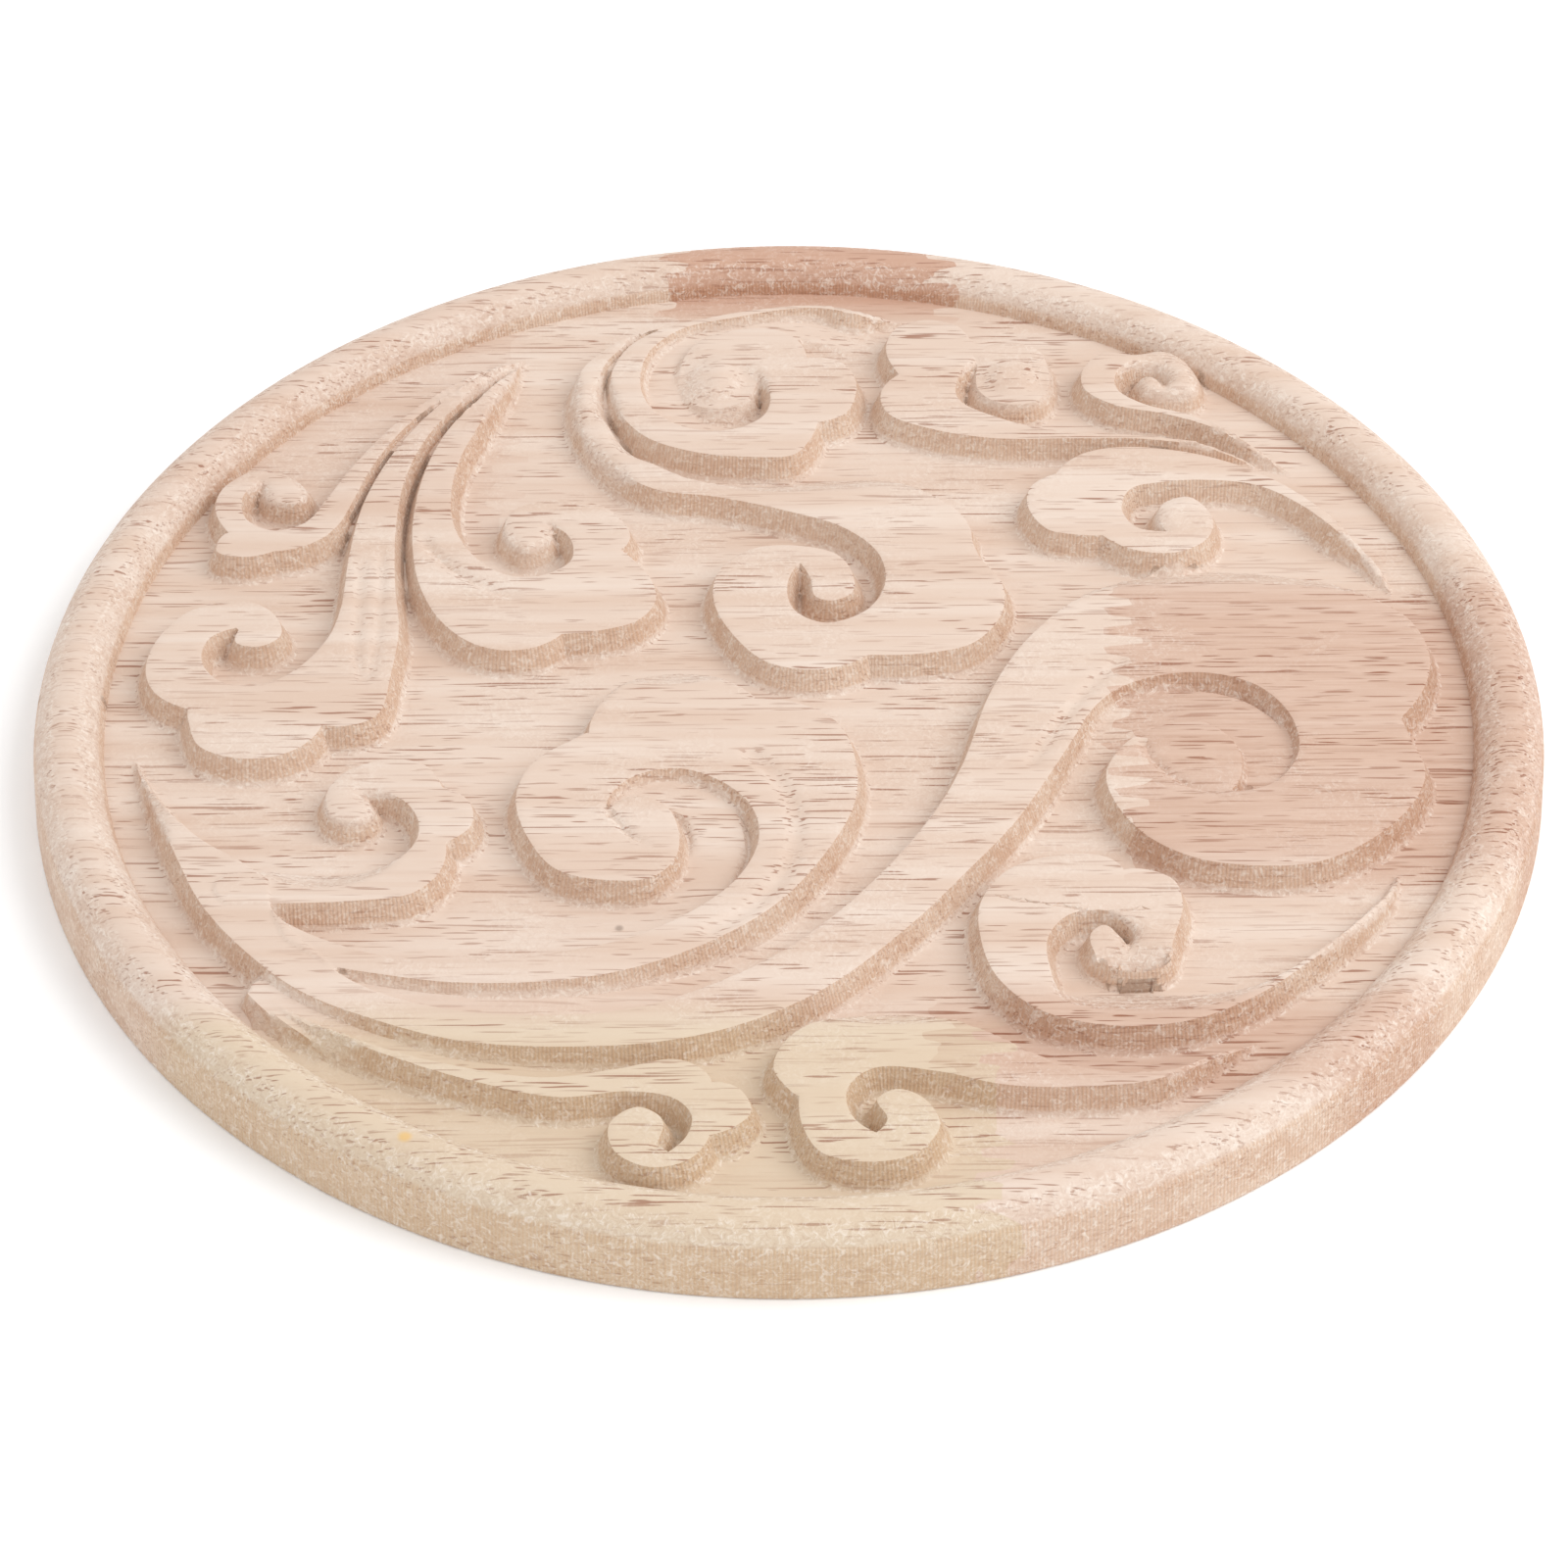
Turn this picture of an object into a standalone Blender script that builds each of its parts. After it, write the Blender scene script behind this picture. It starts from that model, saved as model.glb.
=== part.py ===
"""Carved wooden rosette: a round wooden disc with a bead rim and low-relief cloud scrolls, lying on its back.

Metres, +Z up. The origin is the centre of the flat back. All the driving sizes below are millimetres, seen
square-on to the carved face, with +Y towards the top of the design.
"""
import math

import bmesh
import bpy
import numpy as np

MM = 0.001

# The turned blank
RADIUS = 100.0
GROUND = 6.2            # height of the sunk ground between the scrolls
BEAD_RADIUS = 4.6       # the rim's bead is an arc, turned with a hollow cutter
BEAD_CENTRE = 95.1      # radius of the bead's crest
RIM_TOP = 10.5          # height of the bead's crest, the full thickness of the disc
SIDE_LEAN = 0.4         # how much narrower the disc is under the bead than at its back
EDGE_ROUND = 0.4        # small round between the side and the flat back
TURN_STEPS = 96
BEAD_STEPS = 4          # on each side of the crest

# The scrolls
TOP = 10.0              # height of the flat tops
WALL_RUN = 1.5          # how far a cut wall leans out between the top and the ground
ROOT = 1.2              # how deep each scroll's solid is set below the ground
SLOT_SHARE = 0.4        # part of a narrow slot that one wall may lean into
CLEARANCE = 0.15        # least gap between two walls of one scroll at the root
EASINGS = 20            # how often a wall that leans too far may be drawn back
TURN_PER_POINT = 18.0   # degrees of turn that one straight facet of an outline may take
LONGEST_FACET = 8.0
FINE_STEP = 0.25

# Each scroll's top outline is a ring of smooth strokes that meet in corners. A stroke is a list of knots,
# x and y, with a third value where the top falls below the common height towards a tip or a soft upper edge.
SCROLLS = {
    "crest_spiral": [
        [(16.4, 82.5, 6.7), (13.1, 82.4, 8.1), (9, 82.4, 9.4), (4, 82.8), (-3, 82.1), (-10.6, 80.2), (-17.8, 77.4),
         (-22.4, 73.5), (-24.8, 68), (-25, 63.5), (-23.3, 57), (-19.2, 51.8), (-13, 48.9), (-6.4, 47.8),
         (0.7, 48.1), (2.9, 51), (4.3, 55.5)],
        [(4.3, 55.5), (8, 57.3), (9.6, 61.2), (9.5, 66), (7.2, 69.7), (2.9, 70.3)],
        [(2.9, 70.3), (1.3, 74.8), (-2, 77.1), (-7.5, 77), (-12.5, 74.5), (-15.3, 69.5), (-14.4, 63.6),
         (-10.5, 60.6), (-6.2, 62), (-4.2, 66.4)],
        [(-4.2, 66.4), (-2.4, 61.8), (-3.4, 57), (-8, 53.9), (-14, 54.3), (-19, 58.5), (-20.9, 64.5),
         (-19.7, 72), (-15, 77.4), (-7.5, 80), (0, 81.9), (4.5, 82.2), (9.5, 80.9), (13.1, 81.7, 8.1),
         (16.4, 82.5, 6.7)]],
    "ring_cloud": [
        [(-18.8, 80.1, 7.8), (-22.6, 75.5), (-25.6, 73), (-29.3, 67.6), (-30.3, 60.5), (-28.4, 52.5), (-24.3, 45.6),
         (-18.5, 40.7), (-9.5, 38.8), (0, 35.7), (7.5, 32.2), (12.3, 26.6), (13.1, 20), (10.4, 14.5), (5, 12),
         (0.9, 14.6), (-0.1, 20), (1.7, 24.6)],
        [(1.7, 24.6), (3.1, 21), (3.6, 17.6), (5.7, 16.6), (8.6, 18.2), (8.8, 22), (6.6, 26.4), (0.5, 28.3),
         (-5.2, 27.4), (-9.3, 23), (-10, 16.5), (-7.2, 9.3), (-2.8, 4), (3, 2.4), (7.5, 3.4), (10.6, 5.4)],
        [(10.6, 5.4), (18.4, 5.7), (24.6, 7.7), (28.6, 13.5), (29, 20), (26, 26), (25.2, 30.8)],
        [(25.2, 30.8), (23.4, 35.6), (19.1, 39.8), (13.6, 45.4, 7.3), (6.1, 46.3, 6.4), (-1, 44.7, 7.1),
         (-6, 42.5, 8.7), (-12.4, 42.4), (-18.9, 46.4), (-23.8, 51.9), (-26.7, 60), (-26.3, 68), (-23.8, 72.8),
         (-21.4, 76.5, 9.1), (-18.8, 80.1, 7.8)]],
    "crown_cloud": [
        [(16.6, 78), (20.5, 79.2), (24.5, 77.7), (26.5, 74.3), (27.9, 72.8)],
        [(27.9, 72.8), (32.6, 73.7), (36.1, 71.8), (37.3, 65.5), (35.3, 60.6), (30.5, 60.3), (27.3, 63.5),
         (27.3, 70)],
        [(27.3, 70), (24.3, 65.4), (24.3, 60.5), (30.2, 56.1), (38, 53.3), (48, 52.3), (56, 51),
         (62.3, 50, 8.1), (65.5, 49.2, 6.5)],
        [(65.5, 49.2, 6.5), (58.9, 49.9, 9.4), (50, 51.4), (40, 51.6), (29, 51.7), (20.4, 53.8), (14.2, 57.4),
         (13.3, 62.4), (15.9, 66.4)],
        [(15.9, 66.4), (14.2, 71.5), (14.8, 75.6), (16.6, 78)]],
    "small_curl": [
        [(69.9, 48.1, 6.5), (65.6, 51.4, 8.3), (61.2, 53.8), (56.5, 56.9), (50.5, 59.3), (46.9, 62.6),
         (46.8, 66.4), (49.3, 68.8), (52.8, 68.6), (54.4, 66.2), (53.5, 63.8)],
        [(53.5, 63.8), (52.1, 66.3), (50.3, 65.9), (50.6, 63.5), (54, 62.4), (57.6, 62.9), (58.2, 65.6),
         (56.6, 70), (53.8, 71.8), (49.6, 70.9), (45.2, 71.1), (42.3, 67.8), (42.1, 63), (46, 59.3),
         (53.5, 57), (58.8, 54.5), (63.1, 52.1, 9.1), (67.6, 49.2, 7.3), (69.9, 48.1, 6.5)]],
    "brow_cloud": [
        [(82, 21.9, 6.5), (80.7, 25.4, 7.8), (78.9, 27.6, 8.9), (73.8, 35.3), (66.5, 42.9), (57.5, 47.8),
         (47.3, 49.6), (41, 48), (37.3, 43.7)],
        [(37.3, 43.7), (33.8, 41), (33.1, 36.6), (35.6, 31.6), (39.5, 30.4), (43.1, 30.2)],
        [(43.1, 30.2), (47.5, 27), (53.4, 26.6), (57.6, 29.8), (58.2, 35), (55.4, 38.7), (52, 37.6),
         (50.9, 34.6), (52, 31.4)],
        [(52, 31.4), (48, 31.8), (46, 36), (47.6, 40.4), (52, 41.8), (58, 42.2), (65, 41), (71, 36.4),
         (75.3, 30.8), (77.8, 28.1, 8.7), (80, 24.6, 7.6), (82, 21.9, 6.5)]],
    "side_curl": [
        [(-76.7, 31.5), (-78.9, 36.5), (-78.2, 41.2), (-74.2, 45), (-69.8, 44.8), (-66.9, 41.3), (-67.6, 38.1),
         (-71.3, 38.8), (-72.9, 42.6)],
        [(-72.9, 42.6), (-75.3, 39.5), (-74.4, 34.3), (-70.3, 31.9), (-66.3, 33.7), (-63.6, 39), (-60.3, 46.5),
         (-54.2, 56.9), (-46.5, 65.2), (-38.1, 73.5, 7.1)],
        [(-38.1, 73.5, 7.1), (-45.9, 64.5), (-53.2, 55.6), (-57.8, 46), (-60.5, 36.8), (-61.8, 33), (-64, 30)],
        [(-64, 30), (-67, 28.2), (-70.2, 27.5)],
        [(-70.2, 27.5), (-74, 26.3), (-77.9, 27.4), (-77.8, 30.2), (-76.7, 31.5)]],
    "side_spiral": [
        [(-38.3, 73, 7.1), (-46.4, 60), (-50.7, 52.1), (-53.2, 42.5), (-53.8, 32), (-53.2, 20), (-52.2, 11),
         (-52.7, 2), (-54, -6.2), (-57, -8.2), (-61.2, -8.3)],
        [(-61.2, -8.3), (-63.2, -12), (-67.4, -14.5), (-72.7, -14.5), (-77, -12.2), (-78.6, -8), (-79, -5)],
        [(-79, -5), (-83.4, -2.1), (-85.3, 2.5), (-84.4, 9), (-80.4, 15), (-73.6, 17.1), (-69.3, 14.4),
         (-67.9, 9.9), (-70.5, 7.6), (-73.8, 8.4), (-73.4, 11.6)],
        [(-73.4, 11.6), (-77.3, 9.4), (-78.1, 4.8), (-75.2, 0.5), (-70.1, -0.3), (-65.4, 2.9), (-61.7, 9),
         (-60.3, 15), (-59.8, 27), (-58.6, 37.5), (-55.6, 47.6), (-50.6, 57.6), (-44, 66.2),
         (-38.3, 73, 7.1)]],
    "left_spiral": [
        [(-38.7, 72, 7.1), (-43, 62.3), (-47.7, 54), (-50.4, 45), (-51.5, 35), (-51.2, 27.4), (-49.8, 19.8),
         (-46.6, 12.6), (-42.4, 8.2), (-38, 6.6), (-33.6, 7.3), (-30.3, 9.9)],
        [(-30.3, 9.9), (-24.5, 10.8), (-20.4, 12.4)],
        [(-20.4, 12.4), (-17.9, 16.5), (-18.7, 21.5), (-22.8, 27.5)],
        [(-22.8, 27.5), (-21.6, 30.5), (-24, 35.5), (-28, 38.1), (-33.5, 38.2), (-38.1, 35.7), (-38.7, 31),
         (-35.9, 28.1), (-33, 30), (-32.9, 33.3)],
        [(-32.9, 33.3), (-29.8, 30), (-29.6, 25.2), (-33.6, 22.1), (-38.3, 22.3), (-42.6, 26), (-45.6, 32),
         (-46.6, 39.5), (-45.7, 47.5), (-43.2, 55.6), (-39.1, 68.2, 8.4), (-38.7, 72, 7.1)]],
    "heart_cloud": [
        [(-23.2, -26.2), (-22.4, -23.6), (-19.5, -22.2), (-16, -24), (-14.2, -28.5), (-14.5, -34),
         (-17.5, -37.5), (-23, -38), (-29.5, -36), (-33.4, -30), (-35.2, -22.5), (-33.3, -15.8),
         (-28.6, -11.6), (-26.1, -10)],
        [(-26.1, -10), (-25.1, -5), (-21.8, 0.4, 9.4), (-15.1, 5.4, 6.5), (-9, 1.7, 9.1), (-4.2, -3.5)],
        [(-4.2, -3.5), (1.5, -4.4), (6.5, -8.3), (8.6, -15), (8.5, -23.5), (4.8, -32.8), (-1.6, -42.4),
         (-10, -49.2), (-20, -54), (-30, -56.1), (-42, -56.2), (-51, -54.7), (-57, -53.2)],
        [(-57, -53.2), (-63, -48.5)],
        [(-63, -48.5), (-65, -43.5)],
        [(-65, -43.5), (-61.3, -46.8), (-54, -50.4), (-47, -52.3), (-40, -52.7), (-31, -51.5), (-20, -48.4),
         (-11.8, -43.3), (-6.4, -37.4), (-3.9, -30.6), (-4.7, -24.6), (-8.6, -19.6), (-14.3, -17),
         (-20.1, -18.5), (-23.2, -22.5), (-23.2, -26.2)]],
    "great_cloud": [
        [(-85.4, -12.1, 6.7), (-81.2, -21.9, 9.1), (-75.9, -29.4), (-68.9, -35), (-66.2, -38), (-65.5, -42),
         (-62.5, -47), (-57, -53.4)],
        [(-57, -53.4), (-50.3, -58.2), (-40.2, -61.3), (-30.2, -62.1), (-20.1, -61.1), (-10, -57), (0, -50.2),
         (10, -39.2), (18.3, -26.3), (22.6, -16.3), (26.5, -2.7), (31.2, 7.3), (37.6, 15.5), (42.6, 19.9, 9.2),
         (50.4, 25.5, 6.5), (62.5, 25.9, 6.4), (72.4, 22.9, 7.5), (78.4, 17.3, 9.7), (83.4, 12), (85.3, 5),
         (84, -1.6), (80.3, -7.6)],
        [(80.3, -7.6), (81.3, -12.2), (82.5, -18), (80.6, -23.6), (75, -30.4), (67.5, -35), (60.3, -35.8),
         (52, -34.4), (45.8, -30.2), (41.9, -23.5), (41.2, -17.8), (44.5, -11.8), (49.5, -8.8), (54.5, -8.4),
         (58.4, -13), (58.6, -18.5), (56.8, -21.8)],
        [(56.8, -21.8), (62.6, -20.2), (66.3, -14.4), (66, -7.4), (62.2, -1.3), (56.2, 1.4), (49.6, 1.1),
         (43.8, -1.4), (40, -5.6), (37.3, -11.2), (33.8, -18.4), (28.9, -27.6), (23, -36), (15.1, -46.4),
         (5, -57), (-5, -63.3), (-15, -66.5), (-27, -67.5), (-40.2, -66.4), (-50.3, -63), (-60.3, -57.8),
         (-67.5, -51), (-73.9, -42.4), (-78.4, -32.4), (-83, -20.1, 8.4), (-85.4, -12.1, 6.7)]],
    "low_left_cloud": [
        [(-55.5, -21.2), (-53.6, -24.3), (-55, -26.4), (-58.6, -25.8), (-59.8, -22), (-57.9, -17.8),
         (-52.5, -15.1), (-47.6, -15.9), (-44.8, -20.5)],
        [(-44.8, -20.5), (-41.3, -23), (-40.7, -27.6), (-43.8, -30.8)],
        [(-43.8, -30.8), (-44.3, -36.2), (-47.6, -40.2), (-55, -41.6), (-66, -42), (-71, -42)],
        [(-71, -42), (-72.5, -38.5), (-67.2, -35, 8.7), (-59.5, -33.8, 6.7), (-54.2, -34.5, 8.1),
         (-50.5, -34.3, 9.7), (-47.8, -31), (-47.6, -26.6), (-50.3, -22.4), (-55.5, -21.2)]],
    "low_right_spiral": [
        [(77.6, -34.7, 6.7), (75.6, -39, 7.9), (73.3, -42.7, 8.9), (65.6, -51.5), (58.1, -56.6, 9.4), (50.3, -56.2, 7.1),
         (42.4, -55.7, 6.4), (36.7, -56.8, 7.5), (33.6, -57.9, 9.4), (32.3, -54), (32.4, -48.4), (35.5, -44.4),
         (40.5, -44.1), (43.4, -47.2), (42.2, -50.3)],
        [(42.2, -50.3), (41.3, -48), (39.5, -46.4), (37.7, -48), (38.2, -51.6), (42.2, -53.6), (46.6, -52.6),
         (48.2, -48.2), (49.5, -42.7), (48.6, -38.3), (45.2, -36.4), (42.4, -36.5)],
        [(42.4, -36.5), (40.2, -34), (34.7, -33.6), (28.1, -36.1), (24.2, -42), (23.9, -49), (25.9, -56),
         (31.2, -61.7), (39.5, -64.2), (49, -63.4), (57.6, -59.1), (65.4, -52.5), (73.6, -44, 8.9),
         (76.3, -39.5, 7.9), (77.6, -34.7, 6.7)]],
    "foot_curl": [
        [(-66.8, -54.6, 6.7), (-60.5, -61.1, 8.9), (-50.3, -67.3), (-40.2, -70.8), (-30, -72.7), (-21, -71.3),
         (-13.9, -69.7), (-10.7, -71.4), (-9.5, -73.5)],
        [(-9.5, -73.5), (-6.2, -74.7), (-4.7, -78.5), (-6.6, -81), (-9.6, -82.4)],
        [(-9.6, -82.4), (-12.1, -86.4), (-16.8, -87.6), (-21, -85), (-21.7, -80.4), (-18.4, -77.7),
         (-15.4, -79.8), (-16, -83.6)],
        [(-16, -83.6), (-14.6, -85.2)],
        [(-14.6, -85.2), (-12.3, -82.3), (-11.9, -79), (-14.2, -76.2), (-19.5, -75.1), (-28, -76),
         (-38, -73.4), (-50.3, -68.2), (-60.4, -61.8, 8.9), (-66.8, -54.6, 6.7)]],
    "foot_spiral": [
        [(57.4, -64.4, 6.7), (52.2, -67.7, 8.4), (46.4, -71.7), (38.8, -72), (30.5, -69.4), (25.5, -66),
         (20.2, -63.2), (16.1, -61, 8.4), (11.6, -60, 7.5), (7.5, -61.4, 8.7), (2.5, -63.7), (-0.6, -66.7),
         (-2, -71.2), (-0.5, -74.4), (1.1, -76)],
        [(1.1, -76), (1.5, -81), (3.8, -85.4), (9.5, -86.9), (15, -85.5), (18, -80.8), (15.9, -76.2),
         (12.8, -74.9), (10.5, -76.7), (11.7, -79.8), (10.3, -82.1)],
        [(10.3, -82.1), (7.4, -79.2), (7, -74.6), (10.3, -71.3), (18, -71.9), (26, -74.2), (36, -74.6),
         (45, -73.2), (52.2, -68.4, 8.4), (57.4, -64.4, 6.7)]],
}


def clear_scene():
    """Start from an empty file."""
    for obj in list(bpy.data.objects):
        bpy.data.objects.remove(obj, do_unlink=True)


def new_collection(name):
    """A collection linked to the scene."""
    collection = bpy.data.collections.new(name)
    bpy.context.scene.collection.children.link(collection)
    return collection


def wood_material():
    """Pale pinkish hardwood, sanded and unvarnished."""
    mat = bpy.data.materials.new("pale_hardwood")
    mat.use_nodes = True
    shader = mat.node_tree.nodes["Principled BSDF"]
    shader.inputs["Base Color"].default_value = (0.74, 0.53, 0.39, 1.0)
    shader.inputs["Roughness"].default_value = 0.62
    shader.inputs["Metallic"].default_value = 0.0
    return mat


def stroke_points(knots):
    """Fine points along the centripetal Catmull-Rom curve through a stroke's knots, the last one left out."""
    p = np.array([(k[0], k[1], k[2] if len(k) > 2 else TOP) for k in knots], dtype=float)
    if len(p) == 2:
        return p[:1]
    before = 3 * p[0] - 3 * p[1] + p[2]
    after = 3 * p[-1] - 3 * p[-2] + p[-3]
    q = np.vstack([before, p, after])
    pieces = []
    for a, b, c, d in zip(q[:-3], q[1:-2], q[2:-1], q[3:]):
        t1 = math.sqrt(np.linalg.norm((b - a)[:2]))
        t2 = t1 + math.sqrt(np.linalg.norm((c - b)[:2]))
        t3 = t2 + math.sqrt(np.linalg.norm((d - c)[:2]))
        count = max(1, math.ceil(np.linalg.norm((c - b)[:2]) / FINE_STEP))
        t = np.linspace(t1, t2, count, endpoint=False)[:, None]
        ab = (t1 - t) / t1 * a + t / t1 * b
        bc = (t2 - t) / (t2 - t1) * b + (t - t1) / (t2 - t1) * c
        cd = (t3 - t) / (t3 - t2) * c + (t - t2) / (t3 - t2) * d
        abc = (t2 - t) / t2 * ab + t / t2 * bc
        bcd = (t3 - t) / (t3 - t1) * bc + (t - t1) / (t3 - t1) * cd
        pieces.append((t2 - t) / (t2 - t1) * abc + (t - t1) / (t2 - t1) * bcd)
    return np.vstack(pieces)


def faceted(points):
    """Keep the points where the curve has turned, or run, far enough for one facet."""
    kept = [0]
    turned = 0.0
    run = 0.0
    for i in range(1, len(points)):
        step = points[i, :2] - points[i - 1, :2]
        run += np.linalg.norm(step)
        if i + 1 < len(points):
            ahead = points[i + 1, :2] - points[i, :2]
            cross = step[0] * ahead[1] - step[1] * ahead[0]
            turned += abs(math.degrees(math.atan2(cross, step @ ahead)))
        if turned >= TURN_PER_POINT or run >= LONGEST_FACET:
            if i < len(points) - 2:
                kept.append(i)
            turned = 0.0
            run = 0.0
    return points[kept]


def scroll_outline(strokes):
    """The closed top outline of one scroll, counter-clockwise, as rows of x, y and height."""
    ring = np.vstack([faceted(stroke_points(knots)) for knots in strokes])
    following = np.roll(ring, -1, axis=0)
    area = np.sum(ring[:, 0] * following[:, 1] - following[:, 0] * ring[:, 1])
    return ring if area > 0 else ring[::-1]


def outward(ring):
    """Unit vectors out of the outline at each of its points."""
    along = np.roll(ring, -1, axis=0)[:, :2] - ring[:, :2]
    along /= np.linalg.norm(along, axis=1)[:, None]
    both = along + np.roll(along, 1, axis=0)
    length = np.linalg.norm(both, axis=1)[:, None]
    both = np.where(length > 0.2, both / np.maximum(length, 0.2), along)
    return np.stack([both[:, 1], -both[:, 0]], axis=1)


def crossing_sides(ring, clearance):
    """Which points belong to a side of the ring that crosses, or all but touches, another side."""
    a = ring
    b = np.roll(ring, -1, axis=0)
    n = len(ring)
    d = b - a
    gap = a[None, :] - a[:, None]
    turn = d[:, None, 0] * d[None, :, 1] - d[:, None, 1] * d[None, :, 0]
    turn = np.where(np.abs(turn) < 1e-9, 1e-9, turn)
    t = (gap[..., 0] * d[None, :, 1] - gap[..., 1] * d[None, :, 0]) / turn
    u = (gap[..., 0] * d[:, None, 1] - gap[..., 1] * d[:, None, 0]) / turn
    i, j = np.indices((n, n))
    apart = np.minimum((i - j) % n, (j - i) % n)
    meets = (t > 0) & (t < 1) & (u > 0) & (u < 1) & (apart > 1)
    along = np.clip(np.einsum("ijk,ik->ij", gap, d) / np.einsum("ik,ik->i", d, d)[:, None], 0, 1)
    nearest = np.linalg.norm(gap - along[..., None] * d[:, None], axis=2)
    touches = (nearest < clearance) & ((j - i) % n > 1) & ((i - j) % n > 0)
    sides = (meets | touches).any(axis=1)
    points = meets.any(axis=0) | touches.any(axis=0)
    return sides | np.roll(sides, 1) | points | np.roll(points, 1)


def foot_line(ring):
    """The outline at the scroll's root: it leans out, but no wall leans past the middle of a slot."""
    normal = outward(ring)
    apart = ring[None, :, :2] - ring[:, None, :2]
    distance = np.linalg.norm(apart, axis=2)
    ahead = np.einsum("ijk,ik->ij", apart, normal)
    faces = (distance > 1e-6) & (ahead > 0.5 * distance)
    room = np.where(faces, distance, np.inf).min(axis=1)
    depth = TOP - GROUND + ROOT
    lean = np.minimum(WALL_RUN * depth / (TOP - GROUND), SLOT_SHARE * room)
    lean *= np.clip((ring[:, 2] - GROUND + ROOT) / depth, 0.3, 1)
    for _ in range(EASINGS):
        tight = crossing_sides(ring[:, :2] + normal * lean[:, None], CLEARANCE)
        tight |= crossing_sides(ring[:, :2] + normal * lean[:, None] / 2, CLEARANCE)
        if not tight.any():
            break
        lean[tight] *= 0.7
    return ring[:, :2] + normal * lean[:, None]


def scroll_solid(name, strokes, collection):
    """A flat outline extruded as a curve, then its foot leaned out and its tips let down."""
    ring = scroll_outline(strokes)
    foot = foot_line(ring)
    curve = bpy.data.curves.new(name, "CURVE")
    curve.dimensions = "2D"
    curve.fill_mode = "BOTH"
    middle = (TOP + GROUND - ROOT) / 2
    curve.extrude = (TOP - middle) * MM
    spline = curve.splines.new("POLY")
    spline.points.add(len(ring) - 1)
    for point, row in zip(spline.points, ring):
        point.co = (row[0] * MM, row[1] * MM, 0.0, 1.0)
    spline.use_cyclic_u = True
    flat = bpy.data.objects.new(name + "_outline", curve)
    flat.location.z = middle * MM
    collection.objects.link(flat)
    bpy.context.view_layer.update()
    evaluated = flat.evaluated_get(bpy.context.evaluated_depsgraph_get())
    mesh = bpy.data.meshes.new_from_object(evaluated)
    solid = bpy.data.objects.new(name, mesh)
    solid.matrix_world = flat.matrix_world
    collection.objects.link(solid)
    bpy.data.objects.remove(flat, do_unlink=True)

    bm = bmesh.new()
    bm.from_mesh(mesh)
    bmesh.ops.remove_doubles(bm, verts=bm.verts, dist=1e-6)
    under = [f for f in bm.faces if f.normal.z < -0.5 or all(v.co.z < 0 for v in f.verts)]
    bmesh.ops.delete(bm, geom=under, context="FACES")
    for v in bm.verts:
        here = np.array([v.co.x, v.co.y]) / MM
        i = int(np.argmin(np.linalg.norm(ring[:, :2] - here, axis=1)))
        if v.co.z > 0:
            v.co.z = (ring[i, 2] - middle) * MM
        else:
            v.co.x = foot[i, 0] * MM
            v.co.y = foot[i, 1] * MM
    open_edges = [e for e in bm.edges if len(e.link_faces) == 1]
    bmesh.ops.triangle_fill(bm, use_beauty=True, edges=open_edges)
    bmesh.ops.recalc_face_normals(bm, faces=bm.faces)
    bm.to_mesh(mesh)
    bm.free()
    solid.hide_render = True
    solid.display_type = "WIRE"
    return solid


def blank_profile():
    """Radius and height down the blank: across the ground, over the bead, down the side and back below."""
    level = RIM_TOP - BEAD_RADIUS
    inner = math.pi / 2 - math.asin((GROUND - level) / BEAD_RADIUS)
    outer = math.asin((RADIUS - SIDE_LEAN - BEAD_CENTRE) / BEAD_RADIUS)
    points = [(0.0, GROUND)]
    for i in range(-BEAD_STEPS, BEAD_STEPS + 1):
        angle = i / BEAD_STEPS * (inner if i < 0 else outer)
        points.append((BEAD_CENTRE + BEAD_RADIUS * math.sin(angle), level + BEAD_RADIUS * math.cos(angle)))
    points += [(RADIUS, EDGE_ROUND), (RADIUS - EDGE_ROUND, 0.0), (0.0, 0.0)]
    return points


def turned_blank(collection, material):
    """The disc with its bead rim, turned about Z."""
    profile = blank_profile()
    mesh = bpy.data.meshes.new("carved_rosette")
    mesh.from_pydata([(r * MM, 0.0, z * MM) for r, z in profile],
                     [(i, i + 1) for i in range(len(profile) - 1)], [])
    mesh.materials.append(material)
    blank = bpy.data.objects.new("carved_rosette", mesh)
    collection.objects.link(blank)
    screw = blank.modifiers.new("turn", "SCREW")
    screw.axis = "Z"
    screw.angle = math.tau
    screw.steps = TURN_STEPS
    screw.render_steps = TURN_STEPS
    screw.use_merge_vertices = True
    screw.merge_threshold = 0.00001
    return blank


def join_scroll(blank, scroll):
    """Leave the scroll standing on the disc, as one solid with it."""
    union = blank.modifiers.new("with_" + scroll.name, "BOOLEAN")
    union.operation = "UNION"
    union.solver = "EXACT"
    union.object = scroll


def main():
    clear_scene()
    rosette = new_collection("carved_wooden_rosette")
    helpers = new_collection("rosette_helpers")
    blank = turned_blank(rosette, wood_material())
    for name, strokes in SCROLLS.items():
        join_scroll(blank, scroll_solid(name, strokes, helpers))


main()
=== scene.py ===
# %% [markdown]
# # A carved wooden rosette
#
# The object is a wooden disc, 200 mm across and 10.5 mm thick, that lies flat on its back. A lathe
# or a router gave it a bead round the rim. Inside the bead a tapering cutter took the ground away
# and left fourteen cloud scrolls standing 3.8 mm proud, with flat tops and leaning walls. The wood
# is bare, sanded and open-pored.
#
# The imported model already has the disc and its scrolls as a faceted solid. This script keeps that
# form and makes the fine carved surface over it: smooth outlines, rounded arrises, creases, pits
# and the wood itself.

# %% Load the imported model
import math

import bmesh
import bpy
import numpy as np
from mathutils import Matrix, Vector, geometry, kdtree


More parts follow.
